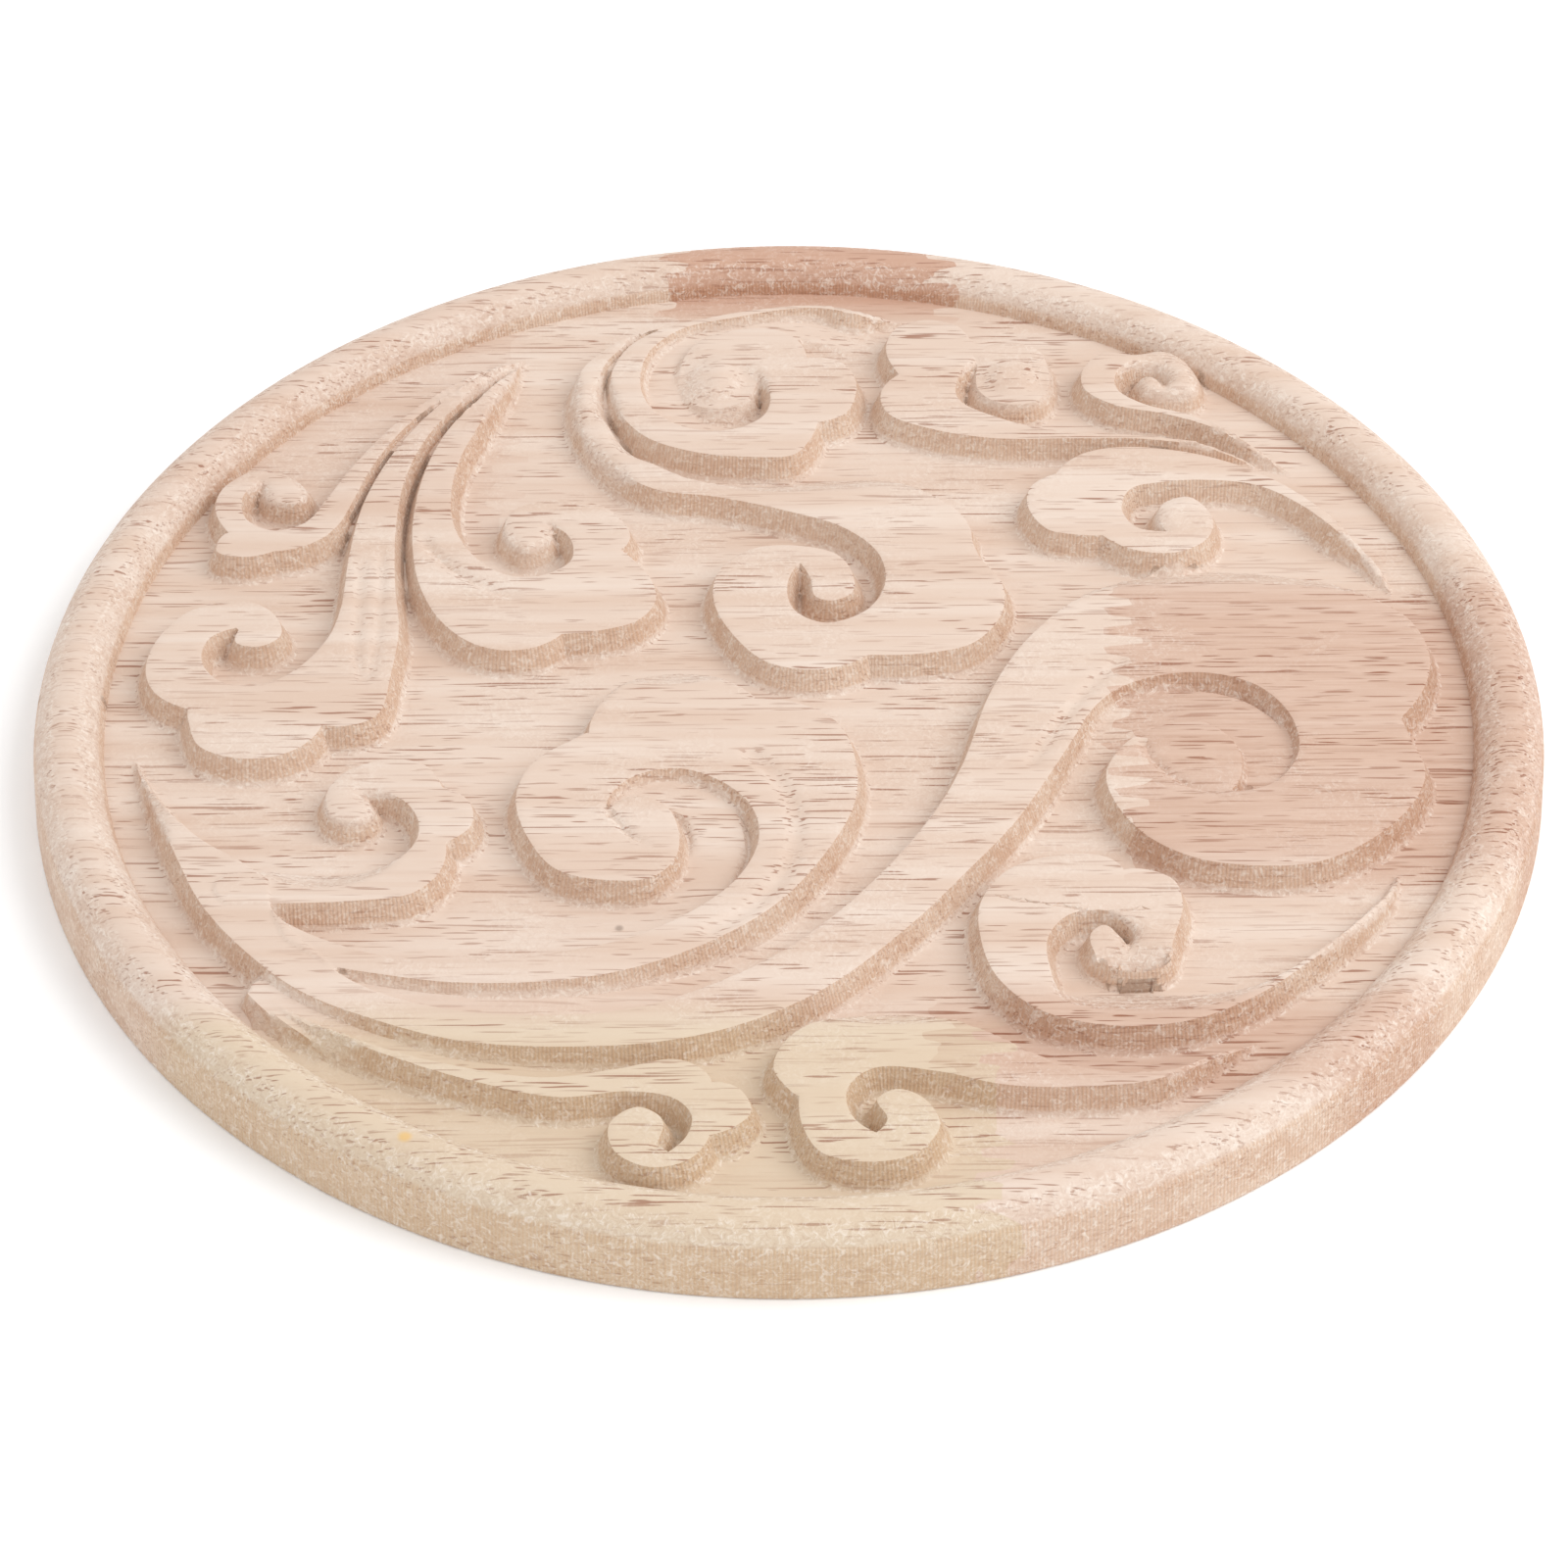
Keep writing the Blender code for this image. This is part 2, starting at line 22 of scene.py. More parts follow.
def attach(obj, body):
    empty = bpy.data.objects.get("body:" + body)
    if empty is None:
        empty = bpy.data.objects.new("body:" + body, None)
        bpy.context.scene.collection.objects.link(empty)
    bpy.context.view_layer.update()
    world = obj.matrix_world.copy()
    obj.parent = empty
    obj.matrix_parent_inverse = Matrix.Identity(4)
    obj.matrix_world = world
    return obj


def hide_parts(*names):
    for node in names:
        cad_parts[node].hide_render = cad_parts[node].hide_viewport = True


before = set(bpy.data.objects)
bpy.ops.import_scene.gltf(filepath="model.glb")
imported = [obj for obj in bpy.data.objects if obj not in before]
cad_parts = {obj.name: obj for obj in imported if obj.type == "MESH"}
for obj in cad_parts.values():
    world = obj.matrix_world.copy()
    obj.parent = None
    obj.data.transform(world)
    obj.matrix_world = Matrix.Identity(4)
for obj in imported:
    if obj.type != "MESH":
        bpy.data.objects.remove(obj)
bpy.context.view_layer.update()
MM = 0.001
print("packed nodes:", sorted(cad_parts))

# %% [markdown]
# ## Sizes
#
# Everything is worked out in millimetres, looking square-on at the carved face, with +Y towards the
# top of the design. The bead is a plain arc, so the radius and the place of its centre describe it.
# Its crest is as high as the board was thick. The walls of the scrolls lean out by 1.5 mm over
# their 3.8 mm height, because they were cut with a tool that tapers.

# %% Sizes of the blank and the relief
RADIUS = 100.0
BEAD_RADIUS = 4.6
BEAD_CENTRE = 95.1
RIM_TOP = 10.5
SIDE_LEAN = 0.4     # how much narrower the disc is under the bead than at its back
GROUND = 6.2
TOP = 10.0
WALL_RUN = 1.5
EDGE_ROUND = 0.4
ARRIS = 0.3         # width over which the sandpaper softened the top edge of a scroll
ARRIS_DROP = 0.08
FOOT_COVE = 0.9     # blend where a wall meets the ground
TIP_SLOPE = 0.6     # how fast a top climbs away from a lowered tip or a soft edge
print("ground at", GROUND, "mm, tops at", TOP, "mm, crest of the bead at", RIM_TOP, "mm")

# %% [markdown]
# ## Outlines of the scrolls
#
# A carver draws a scroll as a few sweeping strokes that meet in corners, and the same goes here.
# Each scroll is a closed ring of strokes, and each stroke is a short list of knots, x and y, that a
# smooth curve runs through. A third value gives the height where the top falls below 10 mm, at the
# thin tails and along two soft edges. Smooth curves through few knots were chosen over many short
# straight lines, because they are easy to correct and stay fair at any fineness.

# %% Knots of the fourteen scrolls
SCROLLS = {
    "crest_spiral": [
        [(16.4, 82.5, 6.7), (13.1, 82.4, 8.1), (9, 82.4, 9.4), (4, 82.8), (-3, 82.1), (-10.6, 80.2),
         (-17.8, 77.4), (-22.4, 73.5), (-24.8, 68), (-25, 63.5), (-23.3, 57), (-19.2, 51.8),
         (-13, 48.9), (-6.4, 47.8), (0.7, 48.1), (2.9, 51), (4.3, 55.5)],
        [(4.3, 55.5), (8, 57.3), (9.6, 61.2), (9.5, 66), (7.2, 69.7), (2.9, 70.3)],
        [(2.9, 70.3), (1.3, 74.8), (-2, 77.1), (-7.5, 77), (-12.5, 74.5), (-15.3, 69.5),
         (-14.4, 63.6), (-10.5, 60.6), (-6.2, 62), (-4.2, 66.4)],
        [(-4.2, 66.4), (-2.4, 61.8), (-3.4, 57), (-8, 53.9), (-14, 54.3), (-19, 58.5),
         (-20.9, 64.5), (-19.7, 72), (-15, 77.4), (-7.5, 80), (0, 81.9), (4.5, 82.2), (9.5, 80.9),
         (13.1, 81.7, 8.1), (16.4, 82.5, 6.7)]],
    "ring_cloud": [
        [(-18.8, 80.1, 7.8), (-22.6, 75.5), (-25.6, 73), (-29.3, 67.6), (-30.3, 60.5),
         (-28.4, 52.5), (-24.3, 45.6), (-18.5, 40.7), (-9.5, 38.8), (0, 35.7), (7.5, 32.2),
         (12.3, 26.6), (13.1, 20), (10.4, 14.5), (5, 12), (0.9, 14.6), (-0.1, 20), (1.7, 24.6)],
        [(1.7, 24.6), (3.1, 21), (3.6, 17.6), (5.7, 16.6), (8.6, 18.2), (8.8, 22), (6.6, 26.4),
         (0.5, 28.3), (-5.2, 27.4), (-9.3, 23), (-10, 16.5), (-7.2, 9.3), (-2.8, 4), (3, 2.4),
         (7.5, 3.4), (10.6, 5.4)],
        [(10.6, 5.4), (18.4, 5.7), (24.6, 7.7), (28.6, 13.5), (29, 20), (26, 26), (25.2, 30.8)],
        [(25.2, 30.8), (23.4, 35.6), (19.1, 39.8), (13.6, 45.4, 7.3), (6.1, 46.3, 6.4),
         (-1, 44.7, 7.1), (-6, 42.5, 8.7), (-12.4, 42.4), (-18.9, 46.4), (-23.8, 51.9), (-26.7, 60),
         (-26.3, 68), (-23.8, 72.8), (-21.4, 76.5, 9.1), (-18.8, 80.1, 7.8)]],
    "crown_cloud": [
        [(16.6, 78), (20.5, 79.2), (24.5, 77.7), (26.5, 74.3), (27.9, 72.8)],
        [(27.9, 72.8), (32.6, 73.7), (36.1, 71.8), (37.3, 65.5), (35.3, 60.6), (30.5, 60.3),
         (27.3, 63.5), (27.3, 70)],
        [(27.3, 70), (24.3, 65.4), (24.3, 60.5), (30.2, 56.1), (38, 53.3), (48, 52.3), (56, 51),
         (62.3, 50, 8.1), (65.5, 49.2, 6.5)],
        [(65.5, 49.2, 6.5), (58.9, 49.9, 9.4), (50, 51.4), (40, 51.6), (29, 51.7), (20.4, 53.8),
         (14.2, 57.4), (13.3, 62.4), (15.9, 66.4)],
        [(15.9, 66.4), (14.2, 71.5), (14.8, 75.6), (16.6, 78)]],
    "small_curl": [
        [(69.9, 48.1, 6.5), (65.6, 51.4, 8.3), (61.2, 53.8), (56.5, 56.9), (50.5, 59.3),
         (46.9, 62.6), (46.8, 66.4), (49.3, 68.8), (52.8, 68.6), (54.4, 66.2), (53.5, 63.8)],
        [(53.5, 63.8), (52.1, 66.3), (50.3, 65.9), (50.6, 63.5), (54, 62.4), (57.6, 62.9),
         (58.2, 65.6), (56.6, 70), (53.8, 71.8), (49.6, 70.9), (45.2, 71.1), (42.3, 67.8),
         (42.1, 63), (46, 59.3), (53.5, 57), (58.8, 54.5), (63.1, 52.1, 9.1), (67.6, 49.2, 7.3),
         (69.9, 48.1, 6.5)]],
    "brow_cloud": [
        [(82, 21.9, 6.5), (80.7, 25.4, 7.8), (78.9, 27.6, 8.9), (73.8, 35.3), (66.5, 42.9),
         (57.5, 47.8), (47.3, 49.6), (41, 48), (37.3, 43.7)],
        [(37.3, 43.7), (33.8, 41), (33.1, 36.6), (35.6, 31.6), (39.5, 30.4), (43.1, 30.2)],
        [(43.1, 30.2), (47.5, 27), (53.4, 26.6), (57.6, 29.8), (58.2, 35), (55.4, 38.7), (52, 37.6),
         (50.9, 34.6), (52, 31.4)],
        [(52, 31.4), (48, 31.8), (46, 36), (47.6, 40.4), (52, 41.8), (58, 42.2), (65, 41),
         (71, 36.4), (75.3, 30.8), (77.8, 28.1, 8.7), (80, 24.6, 7.6), (82, 21.9, 6.5)]],
    "side_curl": [
        [(-76.7, 31.5), (-78.9, 36.5), (-78.2, 41.2), (-74.2, 45), (-69.8, 44.8), (-66.9, 41.3),
         (-67.6, 38.1), (-71.3, 38.8), (-72.9, 42.6)],
        [(-72.9, 42.6), (-75.3, 39.5), (-74.4, 34.3), (-70.3, 31.9), (-66.3, 33.7), (-63.6, 39),
         (-60.3, 46.5), (-54.2, 56.9), (-46.5, 65.2), (-38.1, 73.5, 7.1)],
        [(-38.1, 73.5, 7.1), (-45.9, 64.5), (-53.2, 55.6), (-57.8, 46), (-60.5, 36.8), (-61.8, 33),
         (-64, 30)],
        [(-64, 30), (-67, 28.2), (-70.2, 27.5)],
        [(-70.2, 27.5), (-74, 26.3), (-77.9, 27.4), (-77.8, 30.2), (-76.7, 31.5)]],
    "side_spiral": [
        [(-38.3, 73, 7.1), (-46.4, 60), (-50.7, 52.1), (-53.2, 42.5), (-53.8, 32), (-53.2, 20),
         (-52.2, 11), (-52.7, 2), (-54, -6.2), (-57, -8.2), (-61.2, -8.3)],
        [(-61.2, -8.3), (-63.2, -12), (-67.4, -14.5), (-72.7, -14.5), (-77, -12.2), (-78.6, -8),
         (-79, -5)],
        [(-79, -5), (-83.4, -2.1), (-85.3, 2.5), (-84.4, 9), (-80.4, 15), (-73.6, 17.1),
         (-69.3, 14.4), (-67.9, 9.9), (-70.5, 7.6), (-73.8, 8.4), (-73.4, 11.6)],
        [(-73.4, 11.6), (-77.3, 9.4), (-78.1, 4.8), (-75.2, 0.5), (-70.1, -0.3), (-65.4, 2.9),
         (-61.7, 9), (-60.3, 15), (-59.8, 27), (-58.6, 37.5), (-55.6, 47.6), (-50.6, 57.6),
         (-44, 66.2), (-38.3, 73, 7.1)]],
    "left_spiral": [
        [(-38.7, 72, 7.1), (-43, 62.3), (-47.7, 54), (-50.4, 45), (-51.5, 35), (-51.2, 27.4),
         (-49.8, 19.8), (-46.6, 12.6), (-42.4, 8.2), (-38, 6.6), (-33.6, 7.3), (-30.3, 9.9)],
        [(-30.3, 9.9), (-24.5, 10.8), (-20.4, 12.4)],
        [(-20.4, 12.4), (-17.9, 16.5), (-18.7, 21.5), (-22.8, 27.5)],
        [(-22.8, 27.5), (-21.6, 30.5), (-24, 35.5), (-28, 38.1), (-33.5, 38.2), (-38.1, 35.7),
         (-38.7, 31), (-35.9, 28.1), (-33, 30), (-32.9, 33.3)],
        [(-32.9, 33.3), (-29.8, 30), (-29.6, 25.2), (-33.6, 22.1), (-38.3, 22.3), (-42.6, 26),
         (-45.6, 32), (-46.6, 39.5), (-45.7, 47.5), (-43.2, 55.6), (-39.1, 68.2, 8.4),
         (-38.7, 72, 7.1)]],
    "heart_cloud": [
        [(-23.2, -26.2), (-22.4, -23.6), (-19.5, -22.2), (-16, -24), (-14.2, -28.5), (-14.5, -34),
         (-17.5, -37.5), (-23, -38), (-29.5, -36), (-33.4, -30), (-35.2, -22.5), (-33.3, -15.8),
         (-28.6, -11.6), (-26.1, -10)],
        [(-26.1, -10), (-25.1, -5), (-21.8, 0.4, 9.4), (-15.1, 5.4, 6.5), (-9, 1.7, 9.1),
         (-4.2, -3.5)],
        [(-4.2, -3.5), (1.5, -4.4), (6.5, -8.3), (8.6, -15), (8.5, -23.5), (4.8, -32.8),
         (-1.6, -42.4), (-10, -49.2), (-20, -54), (-30, -56.1), (-42, -56.2), (-51, -54.7),
         (-57, -53.2)],
        [(-57, -53.2), (-63, -48.5)],
        [(-63, -48.5), (-65, -43.5)],
        [(-65, -43.5), (-61.3, -46.8), (-54, -50.4), (-47, -52.3), (-40, -52.7), (-31, -51.5),
         (-20, -48.4), (-11.8, -43.3), (-6.4, -37.4), (-3.9, -30.6), (-4.7, -24.6), (-8.6, -19.6),
         (-14.3, -17), (-20.1, -18.5), (-23.2, -22.5), (-23.2, -26.2)]],
    "great_cloud": [
        [(-85.4, -12.1, 6.7), (-81.2, -21.9, 9.1), (-75.9, -29.4), (-68.9, -35), (-66.2, -38),
         (-65.5, -42), (-62.5, -47), (-57, -53.4)],
        [(-57, -53.4), (-50.3, -58.2), (-40.2, -61.3), (-30.2, -62.1), (-20.1, -61.1), (-10, -57),
         (0, -50.2), (10, -39.2), (18.3, -26.3), (22.6, -16.3), (26.5, -2.7), (31.2, 7.3),
         (37.6, 15.5), (42.6, 19.9, 9.2), (50.4, 25.5, 6.5), (62.5, 25.9, 6.4), (72.4, 22.9, 7.5),
         (78.4, 17.3, 9.7), (83.4, 12), (85.3, 5), (84, -1.6), (80.3, -7.6)],
        [(80.3, -7.6), (81.3, -12.2), (82.5, -18), (80.6, -23.6), (75, -30.4), (67.5, -35),
         (60.3, -35.8), (52, -34.4), (45.8, -30.2), (41.9, -23.5), (41.2, -17.8), (44.5, -11.8),
         (49.5, -8.8), (54.5, -8.4), (58.4, -13), (58.6, -18.5), (56.8, -21.8)],
        [(56.8, -21.8), (62.6, -20.2), (66.3, -14.4), (66, -7.4), (62.2, -1.3), (56.2, 1.4),
         (49.6, 1.1), (43.8, -1.4), (40, -5.6), (37.3, -11.2), (33.8, -18.4), (28.9, -27.6),
         (23, -36), (15.1, -46.4), (5, -57), (-5, -63.3), (-15, -66.5), (-27, -67.5),
         (-40.2, -66.4), (-50.3, -63), (-60.3, -57.8), (-67.5, -51), (-73.9, -42.4), (-78.4, -32.4),
         (-83, -20.1, 8.4), (-85.4, -12.1, 6.7)]],
    "low_left_cloud": [
        [(-55.5, -21.2), (-53.6, -24.3), (-55, -26.4), (-58.6, -25.8), (-59.8, -22), (-57.9, -17.8),
         (-52.5, -15.1), (-47.6, -15.9), (-44.8, -20.5)],
        [(-44.8, -20.5), (-41.3, -23), (-40.7, -27.6), (-43.8, -30.8)],
        [(-43.8, -30.8), (-44.3, -36.2), (-47.6, -40.2), (-55, -41.6), (-66, -42), (-71, -42)],
        [(-71, -42), (-72.5, -38.5), (-67.2, -35, 8.7), (-59.5, -33.8, 6.7), (-54.2, -34.5, 8.1),
         (-50.5, -34.3, 9.7), (-47.8, -31), (-47.6, -26.6), (-50.3, -22.4), (-55.5, -21.2)]],
    "low_right_spiral": [
        [(77.6, -34.7, 6.7), (75.6, -39, 7.9), (73.3, -42.7, 8.9), (65.6, -51.5),
         (58.1, -56.6, 9.4), (50.3, -56.2, 7.1), (42.4, -55.7, 6.4), (36.7, -56.8, 7.5),
         (33.6, -57.9, 9.4), (32.3, -54), (32.4, -48.4), (35.5, -44.4), (40.5, -44.1),
         (43.4, -47.2), (42.2, -50.3)],
        [(42.2, -50.3), (41.3, -48), (39.5, -46.4), (37.7, -48), (38.2, -51.6), (42.2, -53.6),
         (46.6, -52.6), (48.2, -48.2), (49.5, -42.7), (48.6, -38.3), (45.2, -36.4), (42.4, -36.5)],
        [(42.4, -36.5), (40.2, -34), (34.7, -33.6), (28.1, -36.1), (24.2, -42), (23.9, -49),
         (25.9, -56), (31.2, -61.7), (39.5, -64.2), (49, -63.4), (57.6, -59.1), (65.4, -52.5),
         (73.6, -44, 8.9), (76.3, -39.5, 7.9), (77.6, -34.7, 6.7)]],
    "foot_curl": [
        [(-66.8, -54.6, 6.7), (-60.5, -61.1, 8.9), (-50.3, -67.3), (-40.2, -70.8), (-30, -72.7),
         (-21, -71.3), (-13.9, -69.7), (-10.7, -71.4), (-9.5, -73.5)],
        [(-9.5, -73.5), (-6.2, -74.7), (-4.7, -78.5), (-6.6, -81), (-9.6, -82.4)],
        [(-9.6, -82.4), (-12.1, -86.4), (-16.8, -87.6), (-21, -85), (-21.7, -80.4), (-18.4, -77.7),
         (-15.4, -79.8), (-16, -83.6)],
        [(-16, -83.6), (-14.6, -85.2)],
        [(-14.6, -85.2), (-12.3, -82.3), (-11.9, -79), (-14.2, -76.2), (-19.5, -75.1), (-28, -76),
         (-38, -73.4), (-50.3, -68.2), (-60.4, -61.8, 8.9), (-66.8, -54.6, 6.7)]],
    "foot_spiral": [
        [(57.4, -64.4, 6.7), (52.2, -67.7, 8.4), (46.4, -71.7), (38.8, -72), (30.5, -69.4),
         (25.5, -66), (20.2, -63.2), (16.1, -61, 8.4), (11.6, -60, 7.5), (7.5, -61.4, 8.7),
         (2.5, -63.7), (-0.6, -66.7), (-2, -71.2), (-0.5, -74.4), (1.1, -76)],
        [(1.1, -76), (1.5, -81), (3.8, -85.4), (9.5, -86.9), (15, -85.5), (18, -80.8),
         (15.9, -76.2), (12.8, -74.9), (10.5, -76.7), (11.7, -79.8), (10.3, -82.1)],
        [(10.3, -82.1), (7.4, -79.2), (7, -74.6), (10.3, -71.3), (18, -71.9), (26, -74.2),
         (36, -74.6), (45, -73.2), (52.2, -68.4, 8.4), (57.4, -64.4, 6.7)]],
}
print(len(SCROLLS), "scrolls,", sum(len(stroke) for ring in SCROLLS.values() for stroke in ring), "knots")

# %% [markdown]
# ## From knots to smooth outlines
#
# A centripetal Catmull-Rom curve goes through every knot and never makes a loop or a cusp between
# two of them, however unevenly they are spaced, which a plain one does. Each outline is sampled
# finely, once, and everything else is measured from those samples.

# %% Smooth outline of a scroll
OUTLINE_STEP = 0.3


def stroke_points(knots):
    """Fine points along a stroke's smooth curve, the last one left out."""
    p = np.array([(k[0], k[1], k[2] if len(k) > 2 else TOP) for k in knots], dtype=float)
    if len(p) == 2:
        steps = math.ceil(np.linalg.norm((p[1] - p[0])[:2]) / OUTLINE_STEP)
        return p[0] + (p[1] - p[0]) * np.linspace(0, 1, steps, endpoint=False)[:, None]
    q = np.vstack([3 * p[0] - 3 * p[1] + p[2], p, 3 * p[-1] - 3 * p[-2] + p[-3]])
    pieces = []
    for a, b, c, d in zip(q[:-3], q[1:-2], q[2:-1], q[3:]):
        t1 = math.sqrt(np.linalg.norm((b - a)[:2]))
        t2 = t1 + math.sqrt(np.linalg.norm((c - b)[:2]))
        t3 = t2 + math.sqrt(np.linalg.norm((d - c)[:2]))
        steps = max(1, math.ceil(np.linalg.norm((c - b)[:2]) / OUTLINE_STEP))
        t = np.linspace(t1, t2, steps, endpoint=False)[:, None]
        ab = (t1 - t) / t1 * a + t / t1 * b
        bc = (t2 - t) / (t2 - t1) * b + (t - t1) / (t2 - t1) * c
        cd = (t3 - t) / (t3 - t2) * c + (t - t2) / (t3 - t2) * d
        abc = (t2 - t) / t2 * ab + t / t2 * bc
        bcd = (t3 - t) / (t3 - t1) * bc + (t - t1) / (t3 - t1) * cd
        pieces.append((t2 - t) / (t2 - t1) * abc + (t - t1) / (t2 - t1) * bcd)
    return np.vstack(pieces)


def outline(strokes):
    """The whole ring, counter-clockwise, as rows of x, y and height."""
    ring = np.vstack([stroke_points(knots) for knots in strokes])
    ahead = np.roll(ring, -1, axis=0)
    area = np.sum(ring[:, 0] * ahead[:, 1] - ring[:, 1] * ahead[:, 0])
    return ring if area > 0 else ring[::-1].copy()


outlines = {name: outline(strokes) for name, strokes in SCROLLS.items()}
print("outline points:", sum(len(ring) for ring in outlines.values()))

# %% [markdown]
# ## Finding the nearest edge
#
# Many thousand places will each ask which point of an outline is nearest. Comparing with every
# point would be slow, so the points go into a kd-tree, which sorts them by place and answers at
# once. How far along the outline each point lies is kept as well, because the cutter's marks on the
# walls follow it.

# %% A tree of near points for each outline
def wall_directions(ring):
    """Unit vectors out of the outline at each point."""
    along = np.roll(ring, -1, axis=0)[:, :2] - np.roll(ring, 1, axis=0)[:, :2]
    along /= np.maximum(np.linalg.norm(along, axis=1), 1e-9)[:, None]
    return np.stack([along[:, 1], -along[:, 0]], axis=1)


trees = {}
travelled = {}
for name, ring in outlines.items():
    finder = kdtree.KDTree(len(ring))
    for i, (x, y, z) in enumerate(ring):
        finder.insert((x, y, 0.0), i)
    finder.balance()
    trees[name] = finder
    steps = np.linalg.norm(np.diff(ring[:, :2], axis=0, append=ring[:1, :2]), axis=1)
    travelled[name] = np.concatenate([[0.0], np.cumsum(steps)])
print("longest outline, mm:", round(max(way[-1] for way in travelled.values())))

# %% [markdown]
# ## Distance from an outline
#
# The carved height at a place follows from how far it is from the edge of each scroll: inside the
# edge is the flat top, outside is the wall, and then the ground. A kd-tree finds the nearest
# outline point quickly, and the two sides next to it give the exact distance. Which side of them
# the place lies on gives its sign.

# %% Signed distance
REACH = 6.0     # a scroll changes nothing further from its edge than this
CHUNK = 4000    # places tested at a time, so that the tables stay small


def from_edge(name, xy):
    """Distance of each place from an outline, negative inside, and the edge's height and way along there."""
    ring = outlines[name]
    nearest = np.array([trees[name].find((x, y, 0.0))[1] for x, y in xy])
    count = len(ring)
    best = None
    for first in (nearest - 1, nearest):
        a = ring[first % count]
        b = ring[(first + 1) % count]
        side = (b - a)[:, :2]
        length = np.maximum(np.einsum("ij,ij->i", side, side), 1e-12)
        t = np.clip(np.einsum("ij,ij->i", xy - a[:, :2], side) / length, 0, 1)
        off = xy - a[:, :2] - side * t[:, None]
        distance = np.linalg.norm(off, axis=1)
        edge = a[:, 2] + (b - a)[:, 2] * t
        way = travelled[name][first % count] * (1 - t) + travelled[name][first % count + 1] * t
        here = (distance, edge, way)
        if best is None:
            best = here
        else:
            closer = distance < best[0]
            best = tuple(np.where(closer, new, old) for new, old in zip(here, best))
    distance, edge, way = best
    return np.where(inside_ring(ring, xy), -distance, distance), edge, way


def inside_ring(ring, xy):
    """Even-odd test of many places against one outline."""
    a = ring[:, :2]
    b = np.roll(a, -1, axis=0)
    rise = np.where(b[:, 1] == a[:, 1], 1e-12, b[:, 1] - a[:, 1])
    inside = np.zeros(len(xy), dtype=bool)
    for start in range(0, len(xy), CHUNK):
        x = xy[start:start + CHUNK, 0][:, None]
        y = xy[start:start + CHUNK, 1][:, None]
        spans = (a[:, 1] > y) != (b[:, 1] > y)
        left = x < a[:, 0] + (y - a[:, 1]) / rise * (b[:, 0] - a[:, 0])
        inside[start:start + CHUNK] = (spans & left).sum(axis=1) % 2 == 1
    return inside


middle = np.array([(0.0, 0.0)])
print("from the middle to the ring cloud, mm:", from_edge("ring_cloud", middle)[0].round(2))

# %% [markdown]
# ## Creases, pits, soft edges and raised floors
#
# Here and there the carver went over the work again. A few tops have a shallow crease, drawn with a
# light stroke of a gouge, and a few have a small pit. The buttons inside some curls are domed, so
# their edges fall away softly. Inside the largest spirals, and between tails that lie close
# together, the ground wasn't cut to full depth. Each of these is only added to or taken from a
# height, so each is a line of knots or a place with a width and a depth. That is easier to correct
# than points moved by hand.

# %% Places that the carver went over again
GOUGES = [
    # half width and depth in mm, then knots of the line
    (1.3, 0.55, [(-49.8, 29.6), (-45.6, 23.6), (-40.3, 19.4), (-36.9, 17.9)]),
    (1.1, 0.35, [(-58.2, 25), (-57.8, 15), (-57.6, 7), (-56.4, 1)]),
    (1.0, 0.30, [(-55.4, 27), (-55.0, 16), (-55.0, 7), (-56.0, 1)]),
    (1.8, 0.50, [(-5, -14), (-1.5, -19), (0.4, -24), (0.8, -30), (-0.5, -36), (-4.5, -42.5),
                 (-10, -47)]),
    (1.4, 0.40, [(44, 4), (39.5, -1.5), (36, -7.5), (31.5, -16)]),
    (0.8, 0.45, [(-22.6, -26), (-20.5, -29.4), (-18.2, -31)]),
    (1.0, 0.40, [(46.2, -11.5), (47.6, -16), (51, -20), (56, -22)]),
    (0.2, 0.30, [(25.5, -41), (30, -42.2), (36, -43.5), (38.3, -44.2), (45, -43.5)]),
]
PITS = [
    # x, y, radius and depth in mm
    (-3.8, 63.3, 1.0, 0.9),
    (-23.0, -25.6, 0.9, 0.9),
    (-13.0, -79.0, 1.4, 0.35),
    (-16.0, -84.0, 1.0, 0.6),
    (9.2, -79.0, 1.3, 0.5),
    (38.3, -44.2, 0.6, 0.5),
]
SOFT_EDGES = [
    # middle x and y and reach, then how wide and how deep the edge is rounded there, all in mm
    (-10.5, 66.0, 9.0, 6.0, 2.2),
    (32.0, 66.0, 8.0, 4.5, 1.7),
    (54.0, 66.0, 8.0, 1.5, 0.8),
    (-29.5, 60.0, 8.0, 1.6, 0.9),
    (-25.5, 48.0, 8.0, 1.6, 0.9),
    (-70.0, 42.0, 5.5, 1.6, 0.7),
    (-56.0, -23.0, 6.0, 1.6, 0.6),
    (-36.0, 30.0, 6.0, 1.6, 0.6),
    (54.0, 34.5, 6.0, 1.8, 0.6),
    (43.0, -50.0, 6.0, 1.4, 0.6),
]
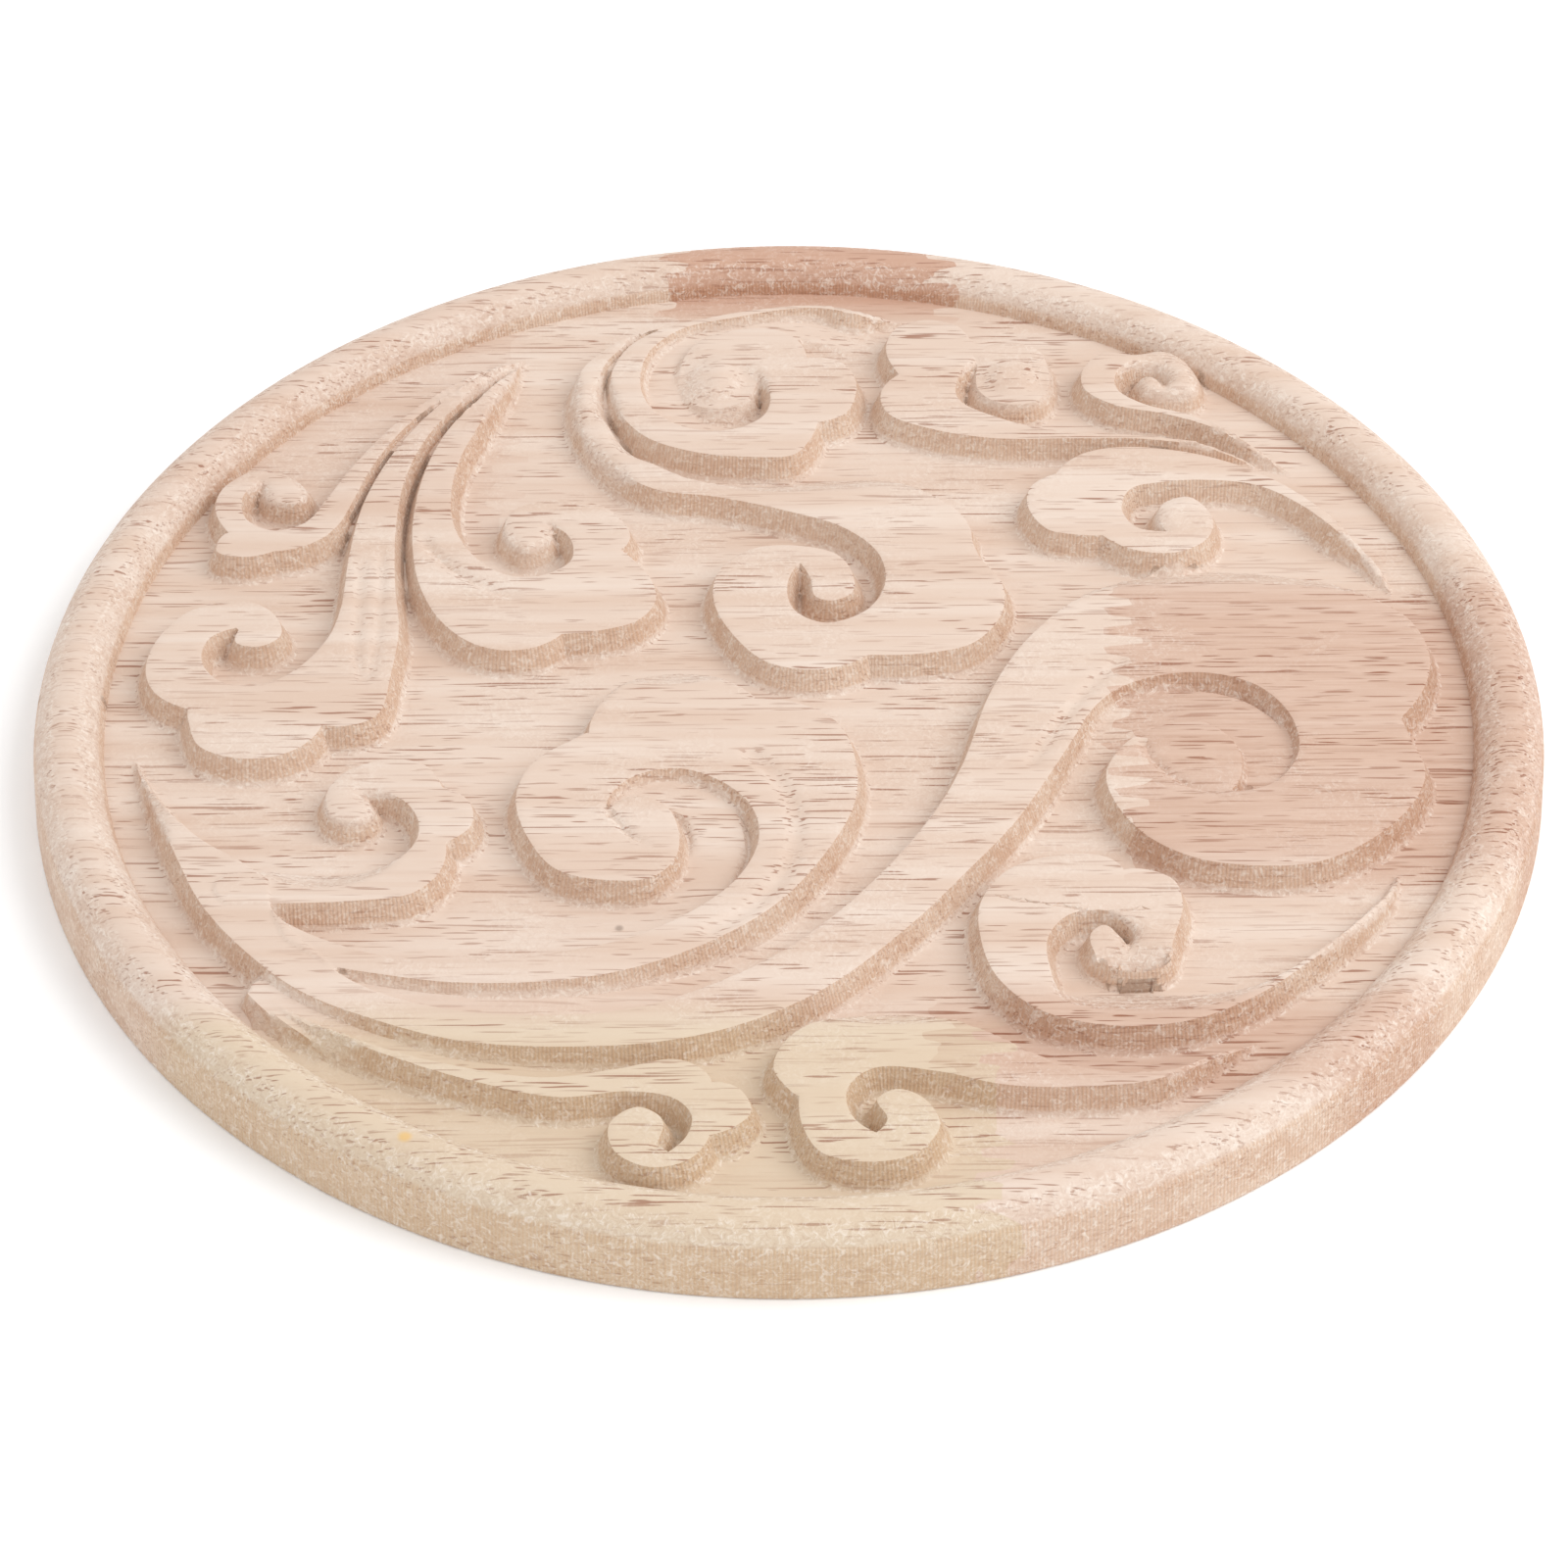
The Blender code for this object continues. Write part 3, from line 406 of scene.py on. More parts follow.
RAISED_FLOORS = [
    # half width in mm, then knots of the middle line with the height of the floor there
    (6.0, [(36.5, -21, 6.2), (39, -13, 6.8), (43.5, -6.5, 7.5), (51, -3.8, 8.0), (58, -5.2, 8.1),
           (62, -10.5, 8.1), (61.5, -16.5, 8.8)]),
    (5.2, [(-22.4, -22.6, 8.6), (-17.5, -19.6, 8.3), (-11.5, -21.8, 8.1), (-9, -28, 7.8),
           (-10.8, -35, 7.2), (-16, -41, 6.5), (-24, -46, 6.2)]),
    (4.5, [(-6.5, 57, 6.2), (-14, 57.8, 6.8), (-18, 63, 7.4), (-18.2, 69, 7.9), (-15, 75, 8.3),
           (-8, 78.7, 8.4), (0, 79.8, 8.2), (8, 79, 7.2), (14, 77, 6.2)]),
    (4.5, [(-60, -51, 8.9), (-50, -56.4, 8.4), (-40, -58.8, 8.2), (-28, -59.2, 7.9),
           (-18, -57.3, 7.4), (-8, -52.8, 6.8), (2, -45.5, 6.2)]),
    (3.5, [(-65, -56.5, 8.7), (-56, -63.6, 8.3), (-45, -68, 7.9), (-34, -70, 7.4),
           (-22, -69.4, 6.8), (-12, -67.8, 6.2)]),
]
print(len(GOUGES), "creases,", len(PITS), "pits,", len(SOFT_EDGES), "soft edges,", len(RAISED_FLOORS),
      "raised floors")

# %% [markdown]
# Each kind of place becomes a function that takes many places at once and gives a height or a
# depth. A smooth bell shape fades a crease or a pit out to nothing at its rim, as a round gouge
# does.

# %% Depths and heights of those places
LINE_STEP = 4       # every fourth fine point of a curve is enough to measure from


def bell(distance, half_width):
    """One at the middle, nought at the half width, smooth at both."""
    t = np.clip(1 - distance / half_width, 0, 1)
    return t * t * (3 - 2 * t)


def near_line(xy, line):
    """Distance of many places from a fine line of rows x, y, z, and the line's z at the nearest place."""
    best = np.full(len(xy), 1e9)
    level = np.zeros(len(xy))
    for a, b in zip(line[:-1], line[1:]):
        side = (b - a)[:2]
        t = np.clip((xy - a[:2]) @ side / (side @ side), 0, 1)
        distance = np.linalg.norm(xy - a[:2] - t[:, None] * side, axis=1)
        closer = distance < best
        best[closer] = distance[closer]
        level[closer] = (a[2] + (b - a)[2] * t)[closer]
    return best, level


def worked_line(knots):
    """A smooth line through the knots, as rows of x, y and z."""
    fine = stroke_points(knots)
    last = knots[-1] if len(knots[-1]) > 2 else (*knots[-1], TOP)
    return np.vstack([fine[::LINE_STEP], last])


gouge_lines = [(half_width, depth, worked_line(knots)) for half_width, depth, knots in GOUGES]
floor_lines = [(half_width, worked_line(knots)) for half_width, knots in RAISED_FLOORS]


def nearby(xy, points, reach):
    """Indices of the places inside the box round some points."""
    points = np.array(points)[:, :2]
    return np.flatnonzero(((xy > points.min(axis=0) - reach) & (xy < points.max(axis=0) + reach)).all(axis=1))


def gouged(xy):
    """How much the gouge takes away at each place, in mm."""
    cut = np.zeros(len(xy))
    for half_width, depth, line in gouge_lines:
        near = nearby(xy, line, half_width)
        cut[near] = np.maximum(cut[near], depth * bell(near_line(xy[near], line)[0], half_width))
    for x, y, radius, depth in PITS:
        cut = np.maximum(cut, depth * bell(np.hypot(xy[:, 0] - x, xy[:, 1] - y), radius))
    return cut


def floor_height(xy):
    """Height of the ground, with the floors that weren't cut to full depth."""
    floor = np.full(len(xy), GROUND)
    for half_width, line in floor_lines:
        near = nearby(xy, line, half_width)
        distance, level = near_line(xy[near], line)
        raised = GROUND + (level - GROUND) * np.clip(3 * bell(distance, half_width), 0, 1)
        floor[near] = np.maximum(floor[near], raised)
    return floor


def rounding(xy, distance):
    """How far an edge has fallen away at each place, by the soft edges and by the sandpaper."""
    width = np.full(len(xy), ARRIS)
    drop = np.full(len(xy), ARRIS_DROP)
    for x, y, reach, soft_width, soft_drop in SOFT_EDGES:
        share = np.clip(2 * bell(np.hypot(xy[:, 0] - x, xy[:, 1] - y), reach), 0, 1)
        width = np.maximum(width, ARRIS + share * (soft_width - ARRIS))
        drop = np.maximum(drop, ARRIS_DROP + share * (soft_drop - ARRIS_DROP))
    return drop * np.clip(1 - np.abs(distance) / width, 0, 1) ** 2


# %% [markdown]
# ## Height of the carved face
#
# One function gives the height of the wood anywhere inside the bead's crest. Scrolls are added by
# taking the higher of two surfaces, so where two walls meet in a narrow slot they leave the V that
# a tapering tool leaves. Nothing is quite flat after cutting and sanding, so the ground waves by a
# few hundredths of a millimetre, and the tops by a third of that.

# %% Height function
SLOW_WAVE = 0.035       # mm
QUICK_WAVE = 0.012
TOP_WAVES = 0.3         # share of the ground's waves that the tops have
LOWERED = TOP - 0.02    # points of an edge under this height are lowered
WALL_NEAR = 1.0         # a wall less than this under the surface still lends it its marks
BEAD_COVE = 0.4         # the same kind of blend where the bead meets the ground


def blended(a, b, reach):
    """The higher of two surfaces, with a small cove where they meet."""
    near = np.clip(1 - np.abs(a - b) / reach, 0, 1)
    return np.maximum(a, b) + reach / 4 * near * near


def bead_height(r):
    """Height of the rim's bead at a radius."""
    from_crest = np.clip(r - BEAD_CENTRE, -BEAD_RADIUS, BEAD_RADIUS)
    return RIM_TOP - BEAD_RADIUS + np.sqrt(BEAD_RADIUS ** 2 - from_crest ** 2)


def tool_waves(xy):
    """Shallow waves that cutting and sanding leave."""
    x, y = xy.T
    slow = np.sin(0.41 * x + 1.3 * np.sin(0.13 * y)) * np.sin(0.37 * y + 1.1 * np.sin(0.17 * x))
    quick = np.sin(1.7 * x + 0.9 * y) * np.sin(1.1 * x - 1.9 * y + 0.7)
    return SLOW_WAVE * slow + QUICK_WAVE * quick


def scroll_height(name, xy):
    """Height of one scroll's top and walls, which go on falling outside it, and the way along its edge."""
    distance, edge, way = from_edge(name, xy)
    ring = outlines[name]
    low = ring[ring[:, 2] < LOWERED][::3]
    top = np.full(len(xy), TOP)
    inside = distance < 0
    if len(low) and inside.any():
        here = xy[inside]
        climb = np.full(len(here), TOP)
        for x, y, z in low:
            climb = np.minimum(climb, z + TIP_SLOPE * np.hypot(here[:, 0] - x, here[:, 1] - y))
        top[inside] = climb
    wall = edge - distance * (TOP - GROUND) / WALL_RUN
    return np.where(inside, top, wall) - rounding(xy, distance), way


def carved_height(xy):
    """Height of the carved face at many places, and how far along the nearest edge each is, in mm."""
    z = floor_height(xy) + tool_waves(xy)
    along = np.arctan2(xy[:, 1], xy[:, 0]) * RADIUS
    for name, ring in outlines.items():
        near = nearby(xy, ring, REACH)
        if len(near):
            height, way = scroll_height(name, xy[near])
            showing = height > z[near] - WALL_NEAR
            along[near[showing]] = way[showing]
            z[near] = blended(z[near], height + TOP_WAVES * tool_waves(xy[near]), FOOT_COVE)
    z -= gouged(xy)
    r = np.hypot(xy[:, 0], xy[:, 1])
    rim = np.where(r > BEAD_CENTRE - BEAD_RADIUS, bead_height(r), 0.0)
    return np.where(rim > 0, blended(z, rim, BEAD_COVE), z), along


samples = np.array([(0.0, -10.0), (0.0, -2.0), (BEAD_CENTRE, 0.0)])
print("heart-shaped cloud, ground and bead, mm:", carved_height(samples)[0].round(2))

# %% [markdown]
# ## Points for the carved face
#
# A plain grid would turn each crisp edge into steps. So the points follow the carving: one row on
# each top edge, one just inside it, five down and past the wall, a few along each crease and round
# each pit, and rings along the bead. A Delaunay triangulation joins them later, and it is told to
# keep the top edges whole.

# %% Rows that follow the edges
FACE_EDGE = 93.0        # the carved face ends on the bead; the rings of the rim take over here
RIM_POINTS = 560        # points in each ring
EDGE_STEP = 0.55        # mm between points of a top edge
GRID_STEP = 0.86        # mm between points of the loose grid
CORNER_TURN = 0.5       # radians; a sharper turn is a corner of the outline and is kept
ROW_GAP = 0.3           # rows of creases and pits keep this far from the top edges, in mm
FOLD_BACK = 0.9         # a row's point nearer to an edge than this share of its offset has passed a corner
WALL_ROWS = (-0.3, 0.35, 0.75, 1.15, 1.5, 1.9)
BEAD_ROWS = (90.0, 90.3, 90.46, 90.51, 90.57, 90.7, 90.9, 91.2, 91.6, 92.1, 92.6)


def resampled(ring, step):
    """The ring at even steps, with its corners kept."""
    along = np.roll(ring, -1, axis=0)[:, :2] - ring[:, :2]
    heading = np.unwrap(np.arctan2(along[:, 1], along[:, 0]))
    turn = np.abs(heading - np.roll(heading, 1))
    turn = np.minimum(turn, np.abs(2 * math.pi - turn))
    corners = np.flatnonzero(turn > CORNER_TURN)
    kept = []
    for a, b in zip(corners, np.append(corners[1:], corners[0] + len(ring))):
        count = max(1, round((b - a) * OUTLINE_STEP / step))
        kept.extend(np.round(np.linspace(a, b, count, endpoint=False)).astype(int) % len(ring))
    return ring[kept]


def clear_of_edges(xy, gap):
    """Which places are further than the gap from every scroll's edge."""
    clear = np.ones(len(xy), dtype=bool)
    for name, ring in outlines.items():
        near = nearby(xy, ring, REACH)
        if len(near):
            clear[near] &= np.abs(from_edge(name, xy[near])[0]) > gap
    return clear


def circle(radius, count):
    """Evenly spaced places round a circle."""
    angle = np.arange(count) * math.tau / count
    return np.stack([radius * np.cos(angle), radius * np.sin(angle)], axis=1)


top_edges = {name: resampled(ring, EDGE_STEP)[:, :2] for name, ring in outlines.items()}
rows = []
for name, edge in top_edges.items():
    out = wall_directions(np.column_stack([edge, edge[:, 0]]))
    for offset in WALL_ROWS:
        row = edge + out * offset
        rows.append(row[clear_of_edges(row, FOLD_BACK * abs(offset))])
for half_width, depth, line in gouge_lines:
    line = line[::max(1, round(half_width / (OUTLINE_STEP * LINE_STEP)))]
    for offset in (-half_width, -half_width / 2, 0.0, half_width / 2, half_width):
        row = line[1:-1, :2] + wall_directions(line)[1:-1] * offset
        rows.append(row[clear_of_edges(row, ROW_GAP)])
for x, y, radius, depth in PITS:
    for share, count in ((0.0, 1), (0.5, 8), (1.0, 12)):
        row = circle(share * radius, count) + (x, y)
        rows.append(row[clear_of_edges(row, ROW_GAP)])
wall_points = np.vstack(rows)
wall_points = wall_points[np.hypot(*wall_points.T) < BEAD_ROWS[0] - ROW_GAP]
print("edge points:", sum(len(edge) for edge in top_edges.values()), "wall points:", len(wall_points))

# %% [markdown]
# The flat places need only a loose triangular grid. Its points stay away from the rows, because two
# points almost on top of each other would make a sliver of a triangle, and slivers shade badly.

# %% Grid over the flat places, and the bead's rings
GRID_TO_EDGE = 0.7      # mm
GRID_TO_ROWS = 0.5
BEAD_TO_EDGE = 0.2
columns = np.arange(-FACE_EDGE, FACE_EDGE, GRID_STEP)
lines = np.arange(-FACE_EDGE, FACE_EDGE, GRID_STEP * math.sqrt(3) / 2)
grid = np.array([(x + (i % 2) * GRID_STEP / 2, y) for i, y in enumerate(lines) for x in columns])
grid = grid[np.hypot(*grid.T) < BEAD_ROWS[0] - GRID_TO_ROWS]
grid = grid[clear_of_edges(grid, GRID_TO_EDGE)]
wall_tree = kdtree.KDTree(len(wall_points))
for i, (x, y) in enumerate(wall_points):
    wall_tree.insert((x, y, 0.0), i)
wall_tree.balance()
grid = grid[[wall_tree.find((x, y, 0.0))[2] > GRID_TO_ROWS for x, y in grid]]
bead_points = np.vstack([circle(r, RIM_POINTS) for r in BEAD_ROWS])
bead_points = bead_points[clear_of_edges(bead_points, BEAD_TO_EDGE)]
print("grid points:", len(grid), "bead points:", len(bead_points))

# %% [markdown]
# ## The carved face as a mesh
#
# The triangulation is flat. Each point is then lifted to its height by the height function, so the
# whole face is one sheet with no gaps, and its outer circle is ready to be joined to the rim.

# %% Triangulate and lift
SAME_POINT = 1e-5       # mm; closer points are merged
boundary = circle(FACE_EDGE, RIM_POINTS)
plan_points = [Vector(p) for p in boundary]
kept_edges = [(i, (i + 1) % RIM_POINTS) for i in range(RIM_POINTS)]
for edge in top_edges.values():
    first = len(plan_points)
    plan_points += [Vector(p) for p in edge]
    kept_edges += [(first + i, first + (i + 1) % len(edge)) for i in range(len(edge))]
for points in (wall_points, grid, bead_points):
    plan_points += [Vector(p) for p in points]
flat = geometry.delaunay_2d_cdt(plan_points, kept_edges, [], 0, SAME_POINT)
face_xy = np.array([tuple(p) for p in flat[0]])
face_z, face_along = carved_height(face_xy)
faces = [tuple(f) for f in flat[2]]
print("carved face:", len(face_xy), "points,", len(faces), "triangles")

# %% [markdown]
# ## Rim, edge and back
#
# Outside the face the disc is plainly turned, so rings of points are enough. They go over the crest
# of the bead, down the side, which leans out a little towards the back, round the small bottom
# corner and across the back. The back can't be seen in the photo and is a plain flat face.

# %% Rings of the rim, the side and the back
SIDE_TOP = float(bead_height(RADIUS - SIDE_LEAN))
BEAD_RINGS = (93.6, 94.4, 95.1, 95.9, 96.7, 97.4, 98.0, 98.5, 98.9, 99.2, 99.45)
RIM_ROWS = [(r, float(bead_height(r))) for r in BEAD_RINGS]
for share in (0.0, 0.02, 0.2, 0.4, 0.6, 0.8, 0.96, 1.0):
    RIM_ROWS.append((RADIUS - SIDE_LEAN * (1 - share), SIDE_TOP + (EDGE_ROUND - SIDE_TOP) * share))
RIM_ROWS += [(RADIUS - EDGE_ROUND * 0.3, EDGE_ROUND * 0.3), (RADIUS - EDGE_ROUND, 0.0)]
RIM_ROWS += [(60.0, 0.0), (20.0, 0.0)]
print("rings:", len(RIM_ROWS))

# %% [markdown]
# The face ends in an even circle of points. They are put in order by their angle, and then each
# ring is joined to the one before it with a belt of four-sided faces, until the last one closes in
# a fan at the middle.

# %% Join the rings to the face
vertices = [(x * MM, y * MM, z * MM) for (x, y), z in zip(face_xy, face_z)]
radius = np.hypot(*face_xy.T)
on_circle = np.flatnonzero(radius > FACE_EDGE - 0.01)
angle = np.arctan2(face_xy[on_circle, 1], face_xy[on_circle, 0]) % math.tau
order = np.round(angle * RIM_POINTS / math.tau).astype(int) % RIM_POINTS
ring = [0] * RIM_POINTS
for i, k in zip(on_circle, order):
    ring[k] = int(i)
for r, z in RIM_ROWS:
    first = len(vertices)
    vertices += [(x * MM, y * MM, z * MM) for x, y in circle(r, RIM_POINTS)]
    for k in range(RIM_POINTS):
        after = (k + 1) % RIM_POINTS
        faces.append((ring[k], first + k, first + after, ring[after]))
    ring = list(range(first, first + RIM_POINTS))
vertices.append((0.0, 0.0, 0.0))
faces += [(ring[k], len(vertices) - 1, ring[(k + 1) % RIM_POINTS]) for k in range(RIM_POINTS)]
print("whole disc:", len(vertices), "points,", len(faces), "faces")

# %% [markdown]
# The mesh is closed, so Blender can tell its inside from its outside and turn all faces outward.
# Smooth shading suits the bead and the coves, and edges that turn by more than 38 degrees stay
# crisp. The way along the edge is stored on the points, so that the wood material can read it.

# %% The rosette's mesh and object
SHARP_TURN = 38         # degrees
mesh = bpy.data.meshes.new("rosette_wood")
mesh.from_pydata(vertices, [], faces)
bm = bmesh.new()
bm.from_mesh(mesh)
bmesh.ops.recalc_face_normals(bm, faces=bm.faces)
open_edges = sum(1 for edge in bm.edges if len(edge.link_faces) != 2)
volume = bm.calc_volume()
triangles = sum(len(face.verts) - 2 for face in bm.faces)
bm.to_mesh(mesh)
bm.free()
rim_places = np.array(vertices[len(face_along):])
rim_along = np.arctan2(rim_places[:, 1], rim_places[:, 0]) * RADIUS
along_edge = mesh.attributes.new("along_edge", "FLOAT", "POINT")
along_edge.data.foreach_set("value", np.concatenate([face_along, rim_along]))
mesh.polygons.foreach_set("use_smooth", [True] * len(mesh.polygons))
mesh.set_sharp_from_angle(angle=math.radians(SHARP_TURN))
rosette = bpy.data.objects.new("rosette_wood", mesh)
bpy.context.scene.collection.objects.link(rosette)
print("rosette:", triangles, "triangles, open edges", open_edges, "volume cm3", round(volume * 1e6, 1))

# %% [markdown]
# ## Colours and nodes
#
# Colours are written as sRGB hex values, as a paint program shows them, and one function turns them
# into the linear values that the renderer works in. Another small function adds a node with its
# settings and links, so that a material reads as a list of steps.

# %% Colour and node helpers
def linear(hex_colour):
    """An sRGB hex colour as linear red, green, blue and alpha."""
    parts = [int(hex_colour[i:i + 2], 16) / 255 for i in (1, 3, 5)]
    return tuple(c / 12.92 if c <= 0.04045 else ((c + 0.055) / 1.055) ** 2.4 for c in parts) + (1.0,)


def add_node(tree, kind, inputs, out=0, **settings):
    """Add a node, give each input its value or link, and hand back one output."""
    made = tree.nodes.new("ShaderNode" + kind)
    for key, value in settings.items():
        setattr(made, key, value)
    for key, value in inputs.items():
        if isinstance(value, bpy.types.NodeSocket):
            tree.links.new(value, made.inputs[key])
        else:
            made.inputs[key].default_value = value
    return made.outputs[out]


print("white paper is", linear("#FFFFFF")[:3], "in linear values")

# %% [markdown]
# ## The wood
#
# The wood is a pale, pinkish, open-pored hardwood, rubberwood by its look, sanded and left bare.
# Three things tell it apart. Broad bands, a few millimetres wide, run along the grain. Pores show
# as short red-brown dashes, about 0.2 mm wide and 1 to 6 mm long, where the surface runs with the
# grain, and as dots where it cuts across. The blank is glued up from lengths of board, so some
# blocks are pinker and more streaked than others.
#
# All patterns are solid: they are worked out in three dimensions from the object's own coordinates
# and stretched along X, the grain. So the same pore that is a dash on a flat top turns into a dot
# on a wall that faces sideways, as it does in real wood.

# %% Wood: coordinates
wood = bpy.data.materials.new("bare_sanded_rubberwood")
wood.use_nodes = True
tree = wood.node_tree
shader = tree.nodes["Principled BSDF"]
own_place = add_node(tree, "TexCoord", {}, out="Object")
mm = add_node(tree, "Mapping", {"Vector": own_place, "Scale": (1 / MM, 1 / MM, 1 / MM)})
x_mm = add_node(tree, "SeparateXYZ", {0: mm}, out=0)
y_mm = add_node(tree, "SeparateXYZ", {0: mm}, out=1)
facing = add_node(tree, "NewGeometry", {}, out="Normal")
upward = add_node(tree, "SeparateXYZ", {0: facing}, out=2)
print("wood material:", wood.name)

# %% [markdown]
# Wood grain is the same noise in every direction of a board but one: along the fibres it is drawn
# out ten or more times. An image of wood would end at every edge, so a noise texture is stretched
# instead, and a small helper takes the length and width of its features in millimetres.

# %% Wood: the grain pattern
def grain(along, across, detail=2.0, roughness=0.5, shift=0.0):
    """Solid noise whose features are so many mm long in X and so many wide in Y and Z."""
    scale = (0.5 / along, 0.5 / across, 0.5 / across)
    stretched = add_node(tree, "Mapping", {"Vector": mm, "Location": (shift, shift, shift), "Scale": scale})
    return add_node(tree, "TexNoise", {"Vector": stretched, "Scale": 1.0, "Detail": detail,
                                       "Roughness": roughness})


# %% [markdown]
# The bare wood goes from a pale to a slightly darker pinkish beige in broad bands. Fine fibres,
# under half a millimetre wide, mix a little more of the darker colour in.

# %% Wood: colours
PALE = linear("#DDCBBD")
BODY = linear("#D2B9A7")
PINK_BOARD = linear("#C8A48F")
DARK_BOARD = linear("#BF957E")
YELLOW_BOARD = linear("#D0BDA2")
# the dark streak colour, also used as painted shade between the raised-fibre curls
STREAK_AND_CURL_SHADE = linear("#A1755D")
PORE = linear("#94634C")
# colour of the cut walls: partly torn fibre, partly painted shade of the steep walls
CUT_WALL_AND_SHADE = linear("#F8EADB")        # laid over the wood by multiplying, so it only warms and darkens it
RAISED_FIBRE = linear("#EEE4D9")
print("pale wood, linear:", [round(c, 3) for c in PALE[:3]])

# %% Wood: broad bands and fine fibres
bands = add_node(tree, "MapRange", {0: grain(45.0, 2.6, detail=3.0), 1: 0.36, 2: 0.64})
fibres = grain(7.0, 0.4, detail=3.0, roughness=0.65, shift=31.0)
fibres = add_node(tree, "MapRange", {0: fibres, 1: 0.3, 2: 0.7})
colour = add_node(tree, "Mix", {0: bands, 6: PALE, 7: BODY}, out=2, data_type="RGBA")
some_fibres = add_node(tree, "Math", {0: fibres, 1: 0.4}, operation="MULTIPLY")
colour = add_node(tree, "Mix", {0: some_fibres, 6: colour, 7: BODY}, out=2, data_type="RGBA")
print("nodes so far:", len(tree.nodes))

# %% [markdown]
# The glued blank is a patchwork. Each block of board is a box in the plan, given by its middle, its
# half sizes and its colour. The glue lines between lengths are finger joints, so a triangle wave
# shifts the ends of each block to and fro along X as Y goes up. Slow noise makes some fingers
# longer than others.

# %% Wood: blocks of the glued blank
BLOCKS = [
    # middle x and y, half length and half width in mm, how strongly it is tinted, and its colour
    (76.0, -8.0, 32.0, 28.0, 0.58, PINK_BOARD),
    (3.0, 94.0, 20.0, 8.5, 0.85, DARK_BOARD),
    (50.0, -66.0, 32.0, 8.0, 0.55, PINK_BOARD),
    (-80.0, 60.0, 40.0, 26.0, 0.15, PINK_BOARD),
    (-50.0, -86.0, 75.0, 24.0, 0.7, YELLOW_BOARD),
    (39.0, 12.0, 6.0, 6.0, 0.3, PALE),
]
BLOCK_EDGE = 3.0        # half the width over which a block's long sides fade out
FINGER_PITCH = 2.0      # a tooth and a gap together are 4 mm
FINGER_DEPTH = 7.0
fingers = add_node(tree, "Math", {0: y_mm, 1: FINGER_PITCH}, operation="PINGPONG")
fingers = add_node(tree, "MapRange", {0: fingers, 1: 0.3 * FINGER_PITCH, 2: 0.7 * FINGER_PITCH,
                                      3: -0.5, 4: 0.5})
uneven = add_node(tree, "TexNoise", {"Vector": mm, "Scale": 0.15, "Detail": 1.0})
uneven = add_node(tree, "MapRange", {0: uneven, 1: 0.4, 2: 0.65, 3: 0.0, 4: FINGER_DEPTH})
x_jointed = add_node(tree, "Math", {0: fingers, 1: uneven, 2: x_mm}, operation="MULTIPLY_ADD")
pink = None
for middle_x, middle_y, half_x, half_y, strength, board in BLOCKS:
    within_x = add_node(tree, "Math", {0: x_jointed, 1: middle_x, 2: half_x}, operation="COMPARE")
    off_y = add_node(tree, "Math", {0: y_mm, 1: middle_y}, operation="SUBTRACT")
    off_y = add_node(tree, "Math", {0: off_y}, operation="ABSOLUTE")
    within_y = add_node(tree, "MapRange", {0: off_y, 1: half_y + BLOCK_EDGE, 2: half_y - BLOCK_EDGE})
    within = add_node(tree, "Math", {0: within_x, 1: within_y}, operation="MULTIPLY")
    amount = add_node(tree, "Math", {0: within, 1: strength}, operation="MULTIPLY")
    colour = add_node(tree, "Mix", {0: amount, 6: colour, 7: board}, out=2, data_type="RGBA")
    if board == PINK_BOARD:
        pink = amount if pink is None else add_node(tree, "Math", {0: pink, 1: amount}, operation="MAXIMUM")
print("blocks of board:", len(BLOCKS))

# %% [markdown]
# Dark streaks are groups of pores and mineral lines. They are strongest in the pink blocks, where
# the fine fibres are darker too. The pores themselves are drawn twice: a fine, short layer
# everywhere, and a sparser layer of long ones. Slopes cut across the pores, so they show less
# there.

# %% Wood: streaks and pores
streaks = grain(30.0, 0.5, detail=4.0, roughness=0.6, shift=7.0)
streaks = add_node(tree, "MapRange", {0: streaks, 1: 0.56, 2: 0.74})
streakiness = add_node(tree, "Math", {0: pink, 1: 0.6, 2: 0.18}, operation="MULTIPLY_ADD")
streaks = add_node(tree, "Math", {0: streaks, 1: streakiness}, operation="MULTIPLY")
pink_lines = add_node(tree, "Math", {0: fibres, 1: pink}, operation="MULTIPLY")
streaks = add_node(tree, "Math", {0: pink_lines, 1: 0.45, 2: streaks}, operation="MULTIPLY_ADD",
                   use_clamp=True)
colour = add_node(tree, "Mix", {0: streaks, 6: colour, 7: STREAK_AND_CURL_SHADE}, out=2, data_type="RGBA")

short_pores = grain(2.6, 0.17, detail=0.0, shift=3.0)
short_pores = add_node(tree, "MapRange", {0: short_pores, 1: 0.69, 2: 0.75})
long_pores = grain(6.0, 0.2, detail=0.0, shift=53.0)
long_pores = add_node(tree, "MapRange", {0: long_pores, 1: 0.69, 2: 0.74})
clusters = grain(20.0, 3.0, shift=91.0)
clusters = add_node(tree, "MapRange", {0: clusters, 1: 0.42, 2: 0.6, 3: 0.25, 4: 0.8})
clusters = add_node(tree, "Math", {0: pink, 1: 0.35, 2: clusters}, operation="MULTIPLY_ADD")
pores = add_node(tree, "Math", {0: short_pores, 1: long_pores}, operation="MAXIMUM")
pores = add_node(tree, "Math", {0: pores, 1: clusters}, operation="MULTIPLY")
on_flat = add_node(tree, "MapRange", {0: upward, 1: 0.6, 2: 0.98, 3: 0.45, 4: 1.0})
pores = add_node(tree, "Math", {0: pores, 1: on_flat}, operation="MULTIPLY")
colour = add_node(tree, "Mix", {0: pores, 6: colour, 7: PORE}, out=2, data_type="RGBA")
print("nodes so far:", len(tree.nodes))
